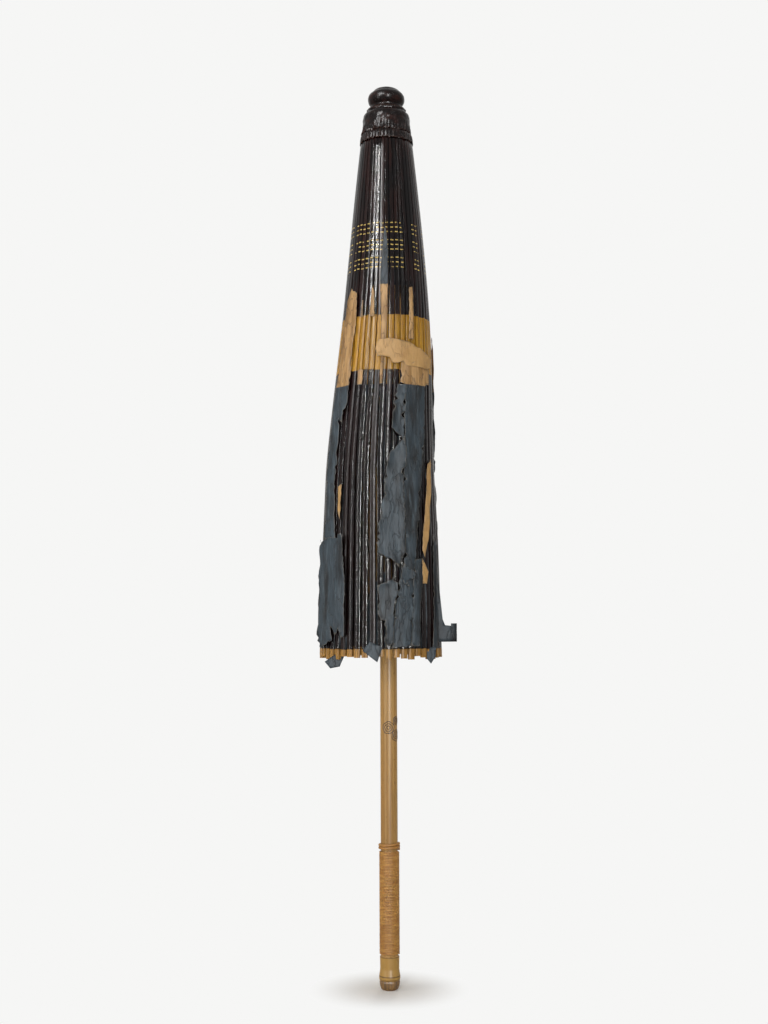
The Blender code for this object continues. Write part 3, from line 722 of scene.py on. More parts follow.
def turned(
    name: str, finish: bpy.types.Material, profile: Sequence[Pair], steps: int,
    ruffle: Callable[[float, float, float], Vector], sharp: float = 40,
) -> bpy.types.Object:
    """Turns a profile about the shaft.

    Args:
        name: The object's name.
        finish: Its material.
        profile: (radius, height) pairs; where an end has no radius, it closes on the axis.
        steps: How many facets there are round.
        ruffle: Moves a point of given radius, angle and height to its place.
        sharp: Edges steeper than this many degrees stay sharp.

    Returns:
        The new object.
    """
    shape = Shape()
    rings = []
    for radius, z in profile:
        rings.append([shape.point(ruffle(radius, 2 * math.pi * i / steps, z)) for i in range(steps)])
    closed = profile[0][0] > 0.1 * MM or profile[-1][0] > 0.1 * MM
    shape.tube(rings, caps=not closed, loop=closed)
    return shape.build(name, finish, sharp)


def thicken(obj: bpy.types.Object, thickness: float) -> None:
    """Gives a sheet its thickness, half to each side.

    Args:
        obj: The sheet.
        thickness: In metres.
    """
    skin = obj.modifiers.new("thickness", "SOLIDIFY")
    skin.thickness = thickness
    skin.offset = 0


def set_shares(obj: bpy.types.Object, shares: Sequence[float]) -> None:
    """Gives each vertex of a blended piece its share of the second body's motion."""
    layer = obj.data.attributes["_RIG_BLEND"]
    layer.data.foreach_set("value", np.array(shares, np.float32))


def spread(obj: bpy.types.Object, shares: Sequence[float], kind: tuple[str, str], sector: int) -> None:
    """Lets a folded piece spread between a main rib and the next as the umbrella opens.

    Args:
        obj: The piece.
        shares: For each vertex, how far round it lies, from 0 at this main rib to 1 at the next.
        kind: The names, without their numbers, of the body at 0 and the body that ends at 1.
        sector: Which main rib it starts from, from 0.
    """
    number = f"_{sector + 1:02d}"
    turn = 2 * math.pi / BUNDLE.sectors
    start = polar(BUNDLE.mid_radius, sector * turn, BUNDLE.mid_z)
    end = polar(BUNDLE.mid_radius, (sector + 1) * turn, BUNDLE.mid_z)
    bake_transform(obj, kind[0] + number, kind[1] + number, start=tuple(start), end=tuple(end))
    set_shares(obj, shares)


def dress(node: str, finish: bpy.types.Material) -> None:
    """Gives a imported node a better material.

    Args:
        node: Its name.
        finish: The material.
    """
    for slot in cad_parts[node].material_slots:
        slot.link = "OBJECT"
        slot.material = finish


# --- ribs ---


def rib_near(degrees: float) -> int:
    """The number of the rib at some degrees round from the front."""
    return round((FRONT + math.radians(degrees)) / BUNDLE.pitch) % BUNDLE.ribs


def directions(index: int) -> tuple[Vector, Vector]:
    """The directions outwards and sideways at a rib, by its number."""
    angle = index * BUNDLE.pitch
    return polar(1, angle, 0), polar(1, angle + math.pi / 2, 0)


@dataclass
class Ribs:
    """All the ribs: flat split-bamboo bars with a crowned lacquered face and a thin tongue in the hub."""

    depth: float = 3.6 * MM
    full_width: float = 4.9 * MM
    share_of_pitch: float = 0.83
    tongue: float = 0.55 * MM
    crown: float = 0.11  # of the rib's width
    filled_low: float = 560 * MM  # above here lacquer fills the face flatter, fully so at filled_high
    filled_high: float = 625 * MM
    head_drop: float = 6.2 * MM  # from the hub pivots down to where the bar starts
    head_chamfer: float = 1.3 * MM
    steps: int = 62
    mid_zone: float = 14 * MM  # near the mid joint the bar keeps clear of its stretcher
    lug_depth: float = 5.2 * MM
    lug_half: float = 4.5 * MM
    cheek: Pair = (0.75 * MM, 1.75 * MM)  # the near and the far face of a lug's cheek
    pin_half: float = 1.9 * MM
    pin_radius: float = 0.5 * MM
    meet_drop: tuple[float, ...] = (0.0, 8.5 * MM, 11.3 * MM, 8.5 * MM)
    unmarked: tuple[float, ...] = (30, 37.5, 60, 67.5, -60, 120, 127.5, 172.5, -112.5, -150)

    def width(self, z: float) -> float:
        """Width of a rib's face at height z."""
        return min(self.share_of_pitch * BUNDLE.pitch * BUNDLE.radius(z), self.full_width)

    def bar(self, shape: Shape, index: int) -> None:
        """Adds one rib.

        Args:
            shape: The shape to add to.
            index: Which rib, counted round from the first main rib.
        """
        luck = random.Random(400 + index)
        out, side = directions(index)
        tint = luck.random()
        share = (index % BUNDLE.ribs_per_sector) / BUNDLE.ribs_per_sector
        shoulder = BUNDLE.hub_z - BUNDLE.shoulder_drop
        tip = BUNDLE.tip_z + luck.uniform(-1.4, 2.4) * MM
        head = BUNDLE.hub_z - self.head_drop
        top = BUNDLE.radius(head)
        stations = [
            (BUNDLE.hub_z + 1.6 * MM, 13.8 * MM, 16 * MM, self.tongue),
            (BUNDLE.hub_z, 13.2 * MM, 16.8 * MM, self.tongue),
            (head + 0.1 * MM, 14 * MM, 19.4 * MM, self.tongue),
            (head, 18.6 * MM, top - self.head_chamfer, self.width(head)),
        ]
        above_shoulder = len(stations)
        for i in range(self.steps + 1):
            z = shoulder + (tip - shoulder) * i / self.steps
            outer = BUNDLE.radius(z)
            inner = outer - self.depth
            stations.append((z, inner, outer, self.width(z) * luck.uniform(0.97, 1.03)))
        rings = []
        for row, (z, inner, outer, width) in enumerate(stations):
            loose = min(1.0, max(0.0, (row - above_shoulder) / 12))
            lean = BUNDLE.lean(z)
            off = abs(z - BUNDLE.mid_z - self.meet_drop[index % BUNDLE.ribs_per_sector])
            if off < self.mid_zone:
                keep_off = BUNDLE.radius(z) - self.depth - 0.9 * MM - lean.dot(out)
                inner = max(inner, keep_off) if lean.dot(out) < 0 else inner
            sway = side * (0.30 * MM * loose * wander(z * 22, index * 3.1)) + lean
            lift = 0.32 * MM * loose * wander(z * 17, index * 5.3, 4)
            half = width / 2
            filled = min(1.0, max(0.0, (z - self.filled_low) / (self.filled_high - self.filled_low)))
            crown = self.crown * width * (1 - 0.7 * filled) if width > 2 * self.tongue else 0.0
            section = [
                (half, outer - crown * 1.1), (half * 0.72, outer - crown * 0.35), (half * 0.3, outer),
                (-half * 0.3, outer), (-half * 0.72, outer - crown * 0.35), (-half, outer - crown * 1.1),
                (-half * 0.9, inner), (half * 0.9, inner),
            ]
            rings.append([
                shape.point(out * (r + lift) + side * y + sway + Vector((0, 0, z)), tint, 0, share)
                for y, r in section
            ])
        shape.tube(rings)
        if index not in {rib_near(degrees) for degrees in self.unmarked}:
            shape.marked.update((i, 1.0) for ring in rings for i in ring[2:4])
        self.lug(shape, index, share, tint)

    def lug(self, shape: Shape, index: int, share: float, tint: float) -> None:
        """Adds the two cheeks that hold a stretcher, and their pin.

        Args:
            shape: The shape to add to.
            index: Which rib.
            share: The rib's share of the spread.
            tint: The rib's tint.
        """
        out, side = directions(index)
        drop = self.meet_drop[index % BUNDLE.ribs_per_sector]
        z = BUNDLE.mid_z + drop
        base = BUNDLE.radius(z) - self.depth + 0.6 * MM
        lean = BUNDLE.lean(z)
        face = base + lean.dot(out)
        sag = side * lean.dot(side)
        for sign in (-1, 1):
            near, far = (sign * face_at for face_at in self.cheek)
            rings = []
            for height, reach in ((1.0, 0.45), (0.6, 0.9), (0.0, 1.0), (-0.6, 0.9), (-1.0, 0.45)):
                level = z + height * self.lug_half
                inner = base - 0.6 * MM - reach * self.lug_depth
                rings.append([
                    shape.point(out * r + side * y + sag + Vector((0, 0, level)), tint, 0, share)
                    for y, r in ((near, face), (far, face), (far, inner), (near, inner))
                ])
            shape.tube(rings)
        centre = BUNDLE.radius(z) - self.depth - 2.8 * MM
        rings = []
        for y in (-self.pin_half, self.pin_half):
            ring = []
            for a in (math.pi * i / 4 for i in range(8)):
                place = out * (centre + self.pin_radius * math.cos(a)) + side * y + sag
                place += Vector((0, 0, z + self.pin_radius * math.sin(a)))
                ring.append(shape.point(place, tint, 0, share))
            rings.append(ring)
        shape.tube(rings)

    def build(self, finish: bpy.types.Material) -> None:
        """Makes the main ribs, each on its body, and the ribs laid in between them.

        Args:
            finish: Their material.
        """
        for sector in range(BUNDLE.sectors):
            number = f"{sector + 1:02d}"
            shape = Shape()
            self.bar(shape, sector * BUNDLE.ribs_per_sector)
            main_rib = shape.build("main_rib_" + number, finish)
            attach(main_rib, "rib_" + number)
            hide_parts("rib_" + number)
            shape = Shape()
            for i in range(1, BUNDLE.ribs_per_sector):
                self.bar(shape, sector * BUNDLE.ribs_per_sector + i)
            laid_in = shape.build("laid_in_ribs_" + number, finish)
            spread(laid_in, shape.values["share"], ("rib", "gore"), sector)
        LOG.info("ribs: %d", BUNDLE.ribs)


@dataclass
class Stretchers:
    """The struts from the runner to the ribs: thin bare bamboo bars with flat tongues at both ends."""

    depth: float = 3.0 * MM
    width: float = 2.4 * MM
    foot_width: float = 1.5 * MM
    tongue: float = 0.55 * MM

    def bar(self, shape: Shape, index: int, shorter: float) -> None:
        """Adds one stretcher, from the runner up.

        Args:
            shape: The shape to add to.
            index: Which rib it belongs to.
            shorter: How far below the mid pivot it ends.
        """
        luck = random.Random(900 + index)
        out, side = directions(index)
        share = (index % BUNDLE.ribs_per_sector) / BUNDLE.ribs_per_sector
        foot = Vector((BUNDLE.pivot_radius, 0, BUNDLE.runner_z))
        head = Vector((BUNDLE.mid_radius, 0, BUNDLE.mid_z))
        along = (head - foot).normalized()
        across = Vector((along.z, 0, -along.x))
        length = BUNDLE.link - shorter
        stations = [(-1.8 * MM, 1.0 * MM, self.tongue), (0, 1.7 * MM, self.tongue),
                    (8.5 * MM, 1.5 * MM, self.tongue), (11.5 * MM, 1.5 * MM, self.foot_width)]
        steps = 12
        for i in range(1, steps):
            reach = 11.5 * MM + (length - 20.5 * MM) * i / steps
            wide = min(self.width, self.foot_width + (self.width - self.foot_width) * 2.2 * i / steps)
            stations.append((reach, 1.5 * MM, wide))
        stations += [(length - 8 * MM, 1.5 * MM, self.width), (length - 6 * MM, 1.5 * MM, 0.9 * MM),
                     (length, 1.7 * MM, 0.9 * MM), (length + 1.8 * MM, 1.0 * MM, 0.9 * MM)]
        section = ((1, 0.75), (0.7, 1), (-0.7, 1), (-1, 0.75), (-1, -0.75), (-0.7, -1), (0.7, -1), (1, -0.75))
        rings = []
        tint = luck.random()
        sag = BUNDLE.lean(BUNDLE.mid_z).dot(side)
        for reach, half, wide in stations:
            middle = foot + along * reach
            bend = sag * max(0.0, reach / BUNDLE.link) ** 2
            ring = []
            for y, d in section:
                flat = middle + across * (d * half)
                place = out * flat.x + side * (y * wide / 2 + bend) + Vector((0, 0, flat.z))
                ring.append(shape.point(place, tint, 0, share))
            rings.append(ring)
        shape.tube(rings)

    def build(self, finish: bpy.types.Material) -> None:
        """Makes the main stretchers, each on its body, and those laid in between them.

        Args:
            finish: Their material.
        """
        drops = Ribs().meet_drop
        for sector in range(BUNDLE.sectors):
            number = f"{sector + 1:02d}"
            first = sector * BUNDLE.ribs_per_sector
            shape = Shape()
            self.bar(shape, first, 0.0)
            strut = shape.build("main_stretcher_" + number, finish)
            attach(strut, "stretcher_" + number)
            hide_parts("stretcher_" + number)
            shape = Shape()
            for i in range(1, BUNDLE.ribs_per_sector):
                self.bar(shape, first + i, drops[i])
            group = shape.build("laid_in_stretchers_" + number, finish)
            spread(group, shape.values["share"], ("stretcher", "stretcher_group"), sector)
            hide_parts("stretcher_group_" + number)
        LOG.info("stretchers: %d", BUNDLE.ribs)


# --- paper ---


@dataclass(frozen=True)
class Tear:
    """A stretch of one paper panel that is gone: which panel, and from what height to what height."""

    panel: int
    low: float
    high: float
    slant: float = 0.0


@dataclass
class Canopy:
    """The paper between the ribs, tucked in between them when folded."""

    tuck: float = 3.2 * MM
    top: float = 727 * MM
    thickness: float = 0.22 * MM
    columns: int = 6
    rows: int = 60
    tears: tuple[Tear, ...] = ()

    def panel(
        self, shape: Shape, index: int, low: float, high: float, luck: random.Random, slant: float
    ) -> None:
        """Adds the paper between one rib and the next, over one stretch of height.

        Args:
            shape: The shape to add to.
            index: Which panel, counted from the first main rib.
            low: Height of its lower edge.
            high: Height of its upper edge.
            luck: Where its ragged edges come from.
            slant: How much higher its upper edge is on one side, in metres.
        """
        start = index * BUNDLE.pitch
        step_share = 1 / BUNDLE.ribs_per_sector
        first = (index % BUNDLE.ribs_per_sector) * step_share
        rows = max(3, round(self.rows * (high - low) / (self.top - BUNDLE.hem_z)))
        rag_low = [luck.uniform(-1, 1) for _ in range(self.columns + 1)]
        rag_high = [luck.uniform(-1, 1) for _ in range(self.columns + 1)]
        torn_high = 2.2 * MM if high < self.top - 5 * MM else 0.0
        torn_low = 2.2 * MM if low > BUNDLE.hem_z + 5 * MM else 0.8 * MM
        grid = []
        for i in range(rows + 1):
            line = []
            for j in range(self.columns + 1):
                u = j / self.columns
                bottom = low + rag_low[j] * torn_low
                ceiling = high + rag_high[j] * torn_high + slant * (u - 0.5)
                z = bottom + (ceiling - bottom) * i / rows
                radius = BUNDLE.radius(z)
                inset = Ribs().width(z) / 2 / radius - 0.25 * MM / radius
                angle = start + inset + (BUNDLE.pitch - 2 * inset) * u
                fold = 1 - abs(2 * u - 1) ** 1.6
                depth = 0.75 * MM + self.tuck * fold * (1 + 0.16 * wander(z * 30, index * 2.7, u))
                depth = min(depth, radius - 15.5 * MM)
                edge = 1.0 if i in (0, rows) and (torn_low if i == 0 else torn_high) > 1 * MM else 0.0
                place = polar(radius - depth, angle, z) + BUNDLE.lean(z)
                line.append(shape.point(place, 0.5, edge, first + u * step_share))
            grid.append(line)
        shape.grid(grid)

    def build(self, finish: bpy.types.Material) -> list[tuple[bpy.types.Object, float]]:
        """Makes the paper of each sector, with its tears.

        Args:
            finish: Its material.

        Returns:
            Each sector's paper with its area.
        """
        made = []
        for sector in range(BUNDLE.sectors):
            number = f"{sector + 1:02d}"
            shape = Shape()
            for i in range(BUNDLE.ribs_per_sector):
                index = sector * BUNDLE.ribs_per_sector + i
                luck = random.Random(70 + index)
                edge = BUNDLE.hem_z
                slant = 0.0
                for tear in sorted((t for t in self.tears if t.panel == index), key=lambda t: t.low):
                    if tear.low > edge + 4 * MM:
                        self.panel(shape, index, edge, tear.low, luck, slant)
                    edge, slant = tear.high, tear.slant
                self.panel(shape, index, edge, self.top, luck, 0.0)
            paper = shape.build("paper_" + number, finish, 60)
            spread(paper, shape.values["share"], ("rib", "gore"), sector)
            thicken(paper, self.thickness)
            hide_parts("gore_" + number)
            made.append((paper, shape.area()))
        LOG.info("paper: %d panels, %d tears", BUNDLE.ribs, len(self.tears))
        return made


def signed_area(outline: Sequence[Pair]) -> float:
    """The area inside an outline, below zero where it runs clockwise."""
    return sum(a[0] * b[1] - b[0] * a[1] for a, b in zip(outline, [*outline[1:], outline[0]])) / 2


def cut(flat: bmesh.types.BMesh, place: Sequence[float], normal: Sequence[float]) -> None:
    """Cuts all of a flat sheet's faces along a plane.

    Args:
        flat: The sheet.
        place: A point of the plane.
        normal: The plane's normal.
    """
    everything = flat.verts[:] + flat.edges[:] + flat.faces[:]
    bmesh.ops.bisect_plane(flat, geom=everything, plane_co=place, plane_no=normal, dist=0.001)


@dataclass(frozen=True)
class Scrap:
    """A torn strip of paper that lies over the folded ribs and hangs on one of them.

    The outline is (degrees round from the front, height in mm); lift and curl are in mm.
    """

    name: str
    outline: tuple[Pair, ...]
    lift: float = 0.6
    curl: float = 0.6
    wrinkle: float = 0.5
    rag: float = 0.5
    host: float = 0.0
    tone: str = "ringed"
    cell: float = 3.0

    def ragged(self) -> list[Pair]:
        """Lays the outline flat and tears its edges.

        Returns:
            The outline as (across, height) in millimetres.
        """
        luck = random.Random(self.name)
        flat = [(math.radians(a) * 1000 * BUNDLE.radius(z * MM), z) for a, z in self.outline]
        inward = 1.0 if signed_area(flat) < 0 else -1.0
        ring = []
        for (x0, z0), (x1, z1) in zip(flat, flat[1:] + flat[:1]):
            length = math.hypot(x1 - x0, z1 - z0)
            count = max(1, round(length / 2.6))
            nx, nz = (z1 - z0) / max(length, 0.01), -(x1 - x0) / max(length, 0.01)
            for i in range(count):
                t = i / count
                off = 0.0 if i == 0 else self.rag * (luck.uniform(-1, 1) + 0.6 * wander(x0 + t * 9, z0, 2))
                if i and self.rag > 0.4 and luck.random() < 0.14:
                    off += self.rag * inward * luck.uniform(1.5, 4.0)
                ring.append((x0 + (x1 - x0) * t + nx * off, z0 + (z1 - z0) * t + nz * off))
        return ring

    def sheet(self) -> tuple[bmesh.types.BMesh, list[Pair]]:
        """Makes the flat sheet.

        Returns:
            The sheet, cut into small cells, and its outline.
        """
        ring = self.ragged()
        shape = bmesh.new()
        shape.faces.new([shape.verts.new((x, 0, z)) for x, z in ring])
        for axis, values in ((0, [p[0] for p in ring]), (2, [p[1] for p in ring])):
            normal = (1, 0, 0) if axis == 0 else (0, 0, 1)
            start = math.ceil(min(values) / self.cell) * self.cell
            while start < max(values):
                place = (start, 0, 0) if axis == 0 else (0, 0, start)
                cut(shape, place, normal)
                start += self.cell
        bmesh.ops.triangulate(shape, faces=shape.faces[:])
        bmesh.ops.remove_doubles(shape, verts=shape.verts[:], dist=0.02)
        return shape, ring

    def place(self, x: float, z: float, inside: float) -> Vector:
        """Lays a point of the flat sheet on the bundle; all lengths are in millimetres.

        Args:
            x: How far across it lies, from the front.
            z: Its height.
            inside: How far inside the edge it is.

        Returns:
            Its place, in metres.
        """
        seed = sum(map(ord, self.name)) * 0.37
        radius = BUNDLE.radius(z * MM)
        angle = x * MM / radius
        edge = math.exp(-inside / 3.0)
        wave = wander(x * 0.11, z * 0.028, seed) + 0.6 * wander(x * 0.3, z * 0.08, seed + 5)
        crease = 0.9 - 2.2 * abs(wander(x * 0.13, z * 0.035, seed + 9))
        lift = self.lift + self.wrinkle * (wave + crease + 0.5)
        lift += self.curl * edge * max(0.0, wander(x * 0.2, z * 0.05, seed + 20) + 0.35) * 2
        ridge = 0.12 * math.cos(angle * BUNDLE.ribs)
        place = polar(radius + max(lift, 0.35) * MM + ridge * MM, FRONT + angle, z * MM)
        return place + BUNDLE.lean(z * MM)

    def build(self, finish: bpy.types.Material) -> bpy.types.Object | None:
        """Args:
            finish: Its material.

        Returns:
            The scrap if it is too small to be a sheet of its own.
        """
        flat, ring = self.sheet()
        shape = Shape()
        corners = [Vector((x, z, 0)) for x, z in ring]
        loops = list(zip(corners, corners[1:] + corners[:1]))
        for vert in flat.verts:
            spot = Vector((vert.co.x, vert.co.z, 0))
            inside = 1e9
            for a, b in loops:
                close, share = intersect_point_line(spot, a, b)
                close = a if share < 0 else b if share > 1 else close
                inside = min(inside, (spot - close).length)
            shape.point(self.place(vert.co.x, vert.co.z, inside), 0.5, math.exp(-inside / 0.9))
        flat.verts.index_update()
        shape.faces = [tuple(v.index for v in face.verts) for face in flat.faces]
        flat.free()
        obj = shape.build(self.name, finish, 70)
        thicken(obj, 0.25 * MM)
        hang(obj, self.host)
        wide, long = (max(p[i] for p in ring) - min(p[i] for p in ring) for i in (0, 1))
        if min(wide, long) < 11:
            return obj
        return None


def hang(obj: bpy.types.Object, degrees: float) -> None:
    """Hangs a piece on the rib nearest to a place.

    Args:
        obj: The piece, in place.
        degrees: Degrees round from the front.
    """
    sector, part = divmod(rib_near(degrees), BUNDLE.ribs_per_sector)
    if part == 0:
        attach(obj, f"rib_{sector + 1:02d}")
    else:
        shares = [part / BUNDLE.ribs_per_sector] * len(obj.data.vertices)
        spread(obj, shares, ("rib", "gore"), sector)


RIGHT_STRIP = Scrap(
    "torn_strip_right",
    ((20, 531), (61, 531), (60, 513), (53, 511), (52, 473), (46, 439), (39, 396), (34, 363), (31, 330),
     (28, 291), (10, 289), (13, 322), (17, 345), (22, 356), (24, 380), (23, 420), (26, 452), (24, 480),
     (25, 511), (19, 513)),
    lift=0.9, curl=0.6, host=30, wrinkle=0.55, rag=0.6,
)
SCRAPS = (
    RIGHT_STRIP,
    Scrap("torn_strip_middle",
          ((16, 511), (24.5, 511), (23.5, 482), (25.5, 452), (22.5, 430), (22.5, 400), (22, 368), (17, 356),
           (11, 362), (-3, 369), (-2, 387), (2, 412), (6, 440), (9, 452), (20, 462), (21, 467), (10, 474),
           (11, 494)),
          lift=1.6, curl=1.8, wrinkle=0.9, rag=0.8, host=15),
    Scrap("torn_flap_low",
          ((-3, 341), (5, 344), (14, 349), (15, 338), (12, 326), (11, 300), (9, 289), (4, 290), (3, 309),
           (-2, 317), (-1, 330)),
          lift=1.4, curl=1.8, wrinkle=1.0, rag=0.8, host=7.5),
    Scrap("torn_strip_low_right",
          ((33, 363), (43, 364), (42, 344), (39, 318), (37, 291), (27.5, 290), (30.5, 330)),
          lift=0.5, curl=0.4, host=37.5),
    Scrap("split_point",
          ((21, 360), (33, 352), (30, 347), (24, 345), (27, 340), (21, 343), (18, 350)),
          lift=2.2, curl=1.2, host=22.5, tone="slate", cell=2.0),
    Scrap("torn_strip_left",
          ((-52, 597), (-42, 592), (-40, 574), (-41, 545), (-41, 511), (-42, 500), (-43, 494), (-46, 488),
           (-47, 477), (-52, 484), (-51, 468), (-50, 447), (-52, 430), (-51, 405), (-49, 381), (-68, 381),
           (-68, 440), (-67, 483), (-65, 513), (-63, 552), (-59, 587)),
          lift=0.7, curl=0.5, host=-52.5),
    Scrap("tan_sliver_left", ((-47, 425), (-42, 427), (-41.5, 408), (-43, 397), (-46, 410)),
          lift=0.5, host=-45, tone="tan", cell=2.0, rag=0.25),
    Scrap("torn_flap_left",
          ((-76, 381), (-68, 379), (-56, 383), (-43, 381), (-42, 385), (-36, 384), (-37, 370), (-34, 350),
           (-34, 321), (-35, 299), (-38, 298), (-41, 306), (-45, 300), (-50, 308), (-49, 296), (-66, 289),
           (-78, 295), (-80, 339)),
          lift=1.3, curl=1.3, wrinkle=0.7, host=-60),
    Scrap("slate_wedge",
          ((-3, 651), (0, 640), (1.5, 627), (1.5, 598), (2, 572), (1, 549), (-0.5, 530), (-4, 530),
           (-5, 549), (-6, 572), (-9, 598), (-8, 618), (-5.5, 638)),
          lift=0.6, curl=0.3, wrinkle=0.2, rag=0.2, host=-3.75, cell=2.0),
    Scrap("tan_strip_low_middle", ((-4, 530), (-0.5, 530), (-1, 511), (-4, 511)),
          lift=0.5, wrinkle=0.2, rag=0.2, host=0, cell=2.0),
    Scrap("tan_sliver_high_1", ((-19, 596), (-16, 592), (-14.5, 570), (-21, 570)),
          lift=0.4, wrinkle=0.2, rag=0.2, host=-15, cell=2.0),
    Scrap("tan_sliver_high_2", ((31, 596), (36.5, 597), (36, 551), (29, 551)),
          lift=0.5, wrinkle=0.25, rag=0.25, host=30, cell=2.0),
    Scrap("tan_sliver_high_3", ((-33, 585), (-31.5, 585), (-30, 570), (-33.5, 570)),
          lift=0.4, wrinkle=0.1, rag=0.1, host=-30, cell=2.0),
    Scrap("tan_sliver_low_1", ((-31, 524), (-24, 524), (-24.5, 511), (-30, 511)),
          lift=0.4, wrinkle=0.2, rag=0.2, host=-30, cell=2.0),
    Scrap("tan_patch",
          ((-8, 549), (5, 550.5), (18, 549), (29, 548), (37, 545), (52, 541), (66, 536), (65, 528), (52, 526),
           (43, 527), (26, 527), (21, 531), (15, 529), (9, 529), (6, 534), (-1, 535), (-8, 535), (-11, 541)),
          lift=1.9, curl=0.5, wrinkle=0.35, rag=0.2, host=15, tone="tan"),
    Scrap("tan_strip_right",
          ((57, 445), (64, 449), (66, 444), (60, 414), (53, 381), (46, 365), (43, 371), (48, 397)),
          lift=0.5, wrinkle=0.3, rag=0.25, host=52.5, tone="tan", cell=2.5),
    Scrap("grey_strip_right",
          ((62, 385), (70, 377), (71, 352), (72, 330), (68, 300), (65, 289), (56, 288), (58, 310), (60, 345)),
          lift=0.4, curl=0.2, host=67.5, wrinkle=0.3, tone="charcoal"),
    Scrap("olive_triangle_right", ((42.5, 364), (51, 353), (48, 343), (42, 343)),
          lift=0.9, wrinkle=0.2, rag=0.2, host=45, tone="tan", cell=2.0),
    Scrap("ragged_strip_far_right",
          ((100, 560), (113, 526), (122, 505), (118, 470), (124, 450), (116, 420), (122, 395), (104, 384),
           (100, 430), (95, 480)),
          lift=0.6, curl=0.9, host=105),
    Scrap("ragged_strip_far_left",
          ((-150, 596), (-134, 590), (-130, 515), (-129, 470), (-130, 420), (-132, 384), (-152, 384),
           (-146, 430), (-154, 480)),
          lift=0.6, curl=0.8, host=-142.5),
    Scrap("ragged_flap_back",
          ((158, 440), (176, 446), (196, 438), (200, 400), (192, 372), (199, 340), (190, 300), (170, 289),
           (152, 296), (156, 350), (149, 380)),
          lift=1.3, curl=1.4, wrinkle=0.8, host=172.5),
)


@dataclass(frozen=True)
class LooseBit:
    """A scrap of paper that dangles at a rib's tip: corners as (across, height) from its middle, in mm."""

    name: str
    degrees: float
    z: float
    out: float
    corners: tuple[Pair, ...]
    tilt: float = 10.0
    turn: float = 0.0
    tone: str = "slate"

    def build(self, finish: bpy.types.Material) -> None:
        """Makes the bit as a small creased sheet and hangs it.

        Args:
            finish: Its material.
        """
        angle = FRONT + math.radians(self.degrees)
        face = angle + math.radians(self.turn)
        middle = polar(self.out * MM, angle, self.z * MM) + BUNDLE.lean(self.z * MM)
        out, side = polar(1, face, 0), polar(1, face + math.pi / 2, 0)
        shape = Shape()
        flat = bmesh.new()
        flat.faces.new([flat.verts.new((x, 0, z)) for x, z in self.corners])
        for normal in ((1, 0, 0), (0, 0, 1)):
            for step in range(-4, 5):
                cut(flat, tuple(n * step * 2.4 + 0.01 for n in normal), normal)
        bmesh.ops.triangulate(flat, faces=flat.faces[:])
        lean = math.tan(math.radians(self.tilt))
        for vert in flat.verts:
            x, z = vert.co.x, vert.co.z
            bend = -z * lean + 0.9 * wander(x * 0.2, z * 0.2, self.degrees) - 0.02 * x * x
            shape.point(middle + side * (x * MM) + out * (bend * MM) + Vector((0, 0, z * MM)), 0.5, 0.2)
        flat.verts.index_update()
        shape.faces = [tuple(v.index for v in face.verts) for face in flat.faces]
        flat.free()
        obj = shape.build(self.name, finish, 60)
        thicken(obj, 0.3 * MM)
        hang(obj, self.degrees)


LOOSE_BITS = (
    LooseBit("loose_bit_middle", -7, 286.5, 54.5, ((-8.5, 1), (-2.5, 8.5), (8, 4), (4, -8.5))),
    LooseBit("loose_bit_left", -46, 279.5, 53.0,
             ((-9, -1.5), (2, 6), (8, 4.5), (4, -5.5), (-4, -7)), turn=40),
    LooseBit("loose_bit_right", 51, 283, 53.5,
             ((-4, 6.5), (5, 7), (4.5, -1), (0.5, -7), (-3.5, -2)), turn=-50),
    LooseBit("standing_strip_right", 66, 307, 57.0,
             ((-6.5, 60), (-5.0, 52), (-2.0, 30), (0.5, 6), (2.5, 1.0), (7.5, 0.5), (7.5, 2.5), (12.5, 2.5),
              (12.5, -13), (-3, -13), (-3, -2), (-4.5, 12), (-6, 28), (-8, 44)), tilt=2, turn=-66,
             tone="charcoal"),
)


# --- crown ---


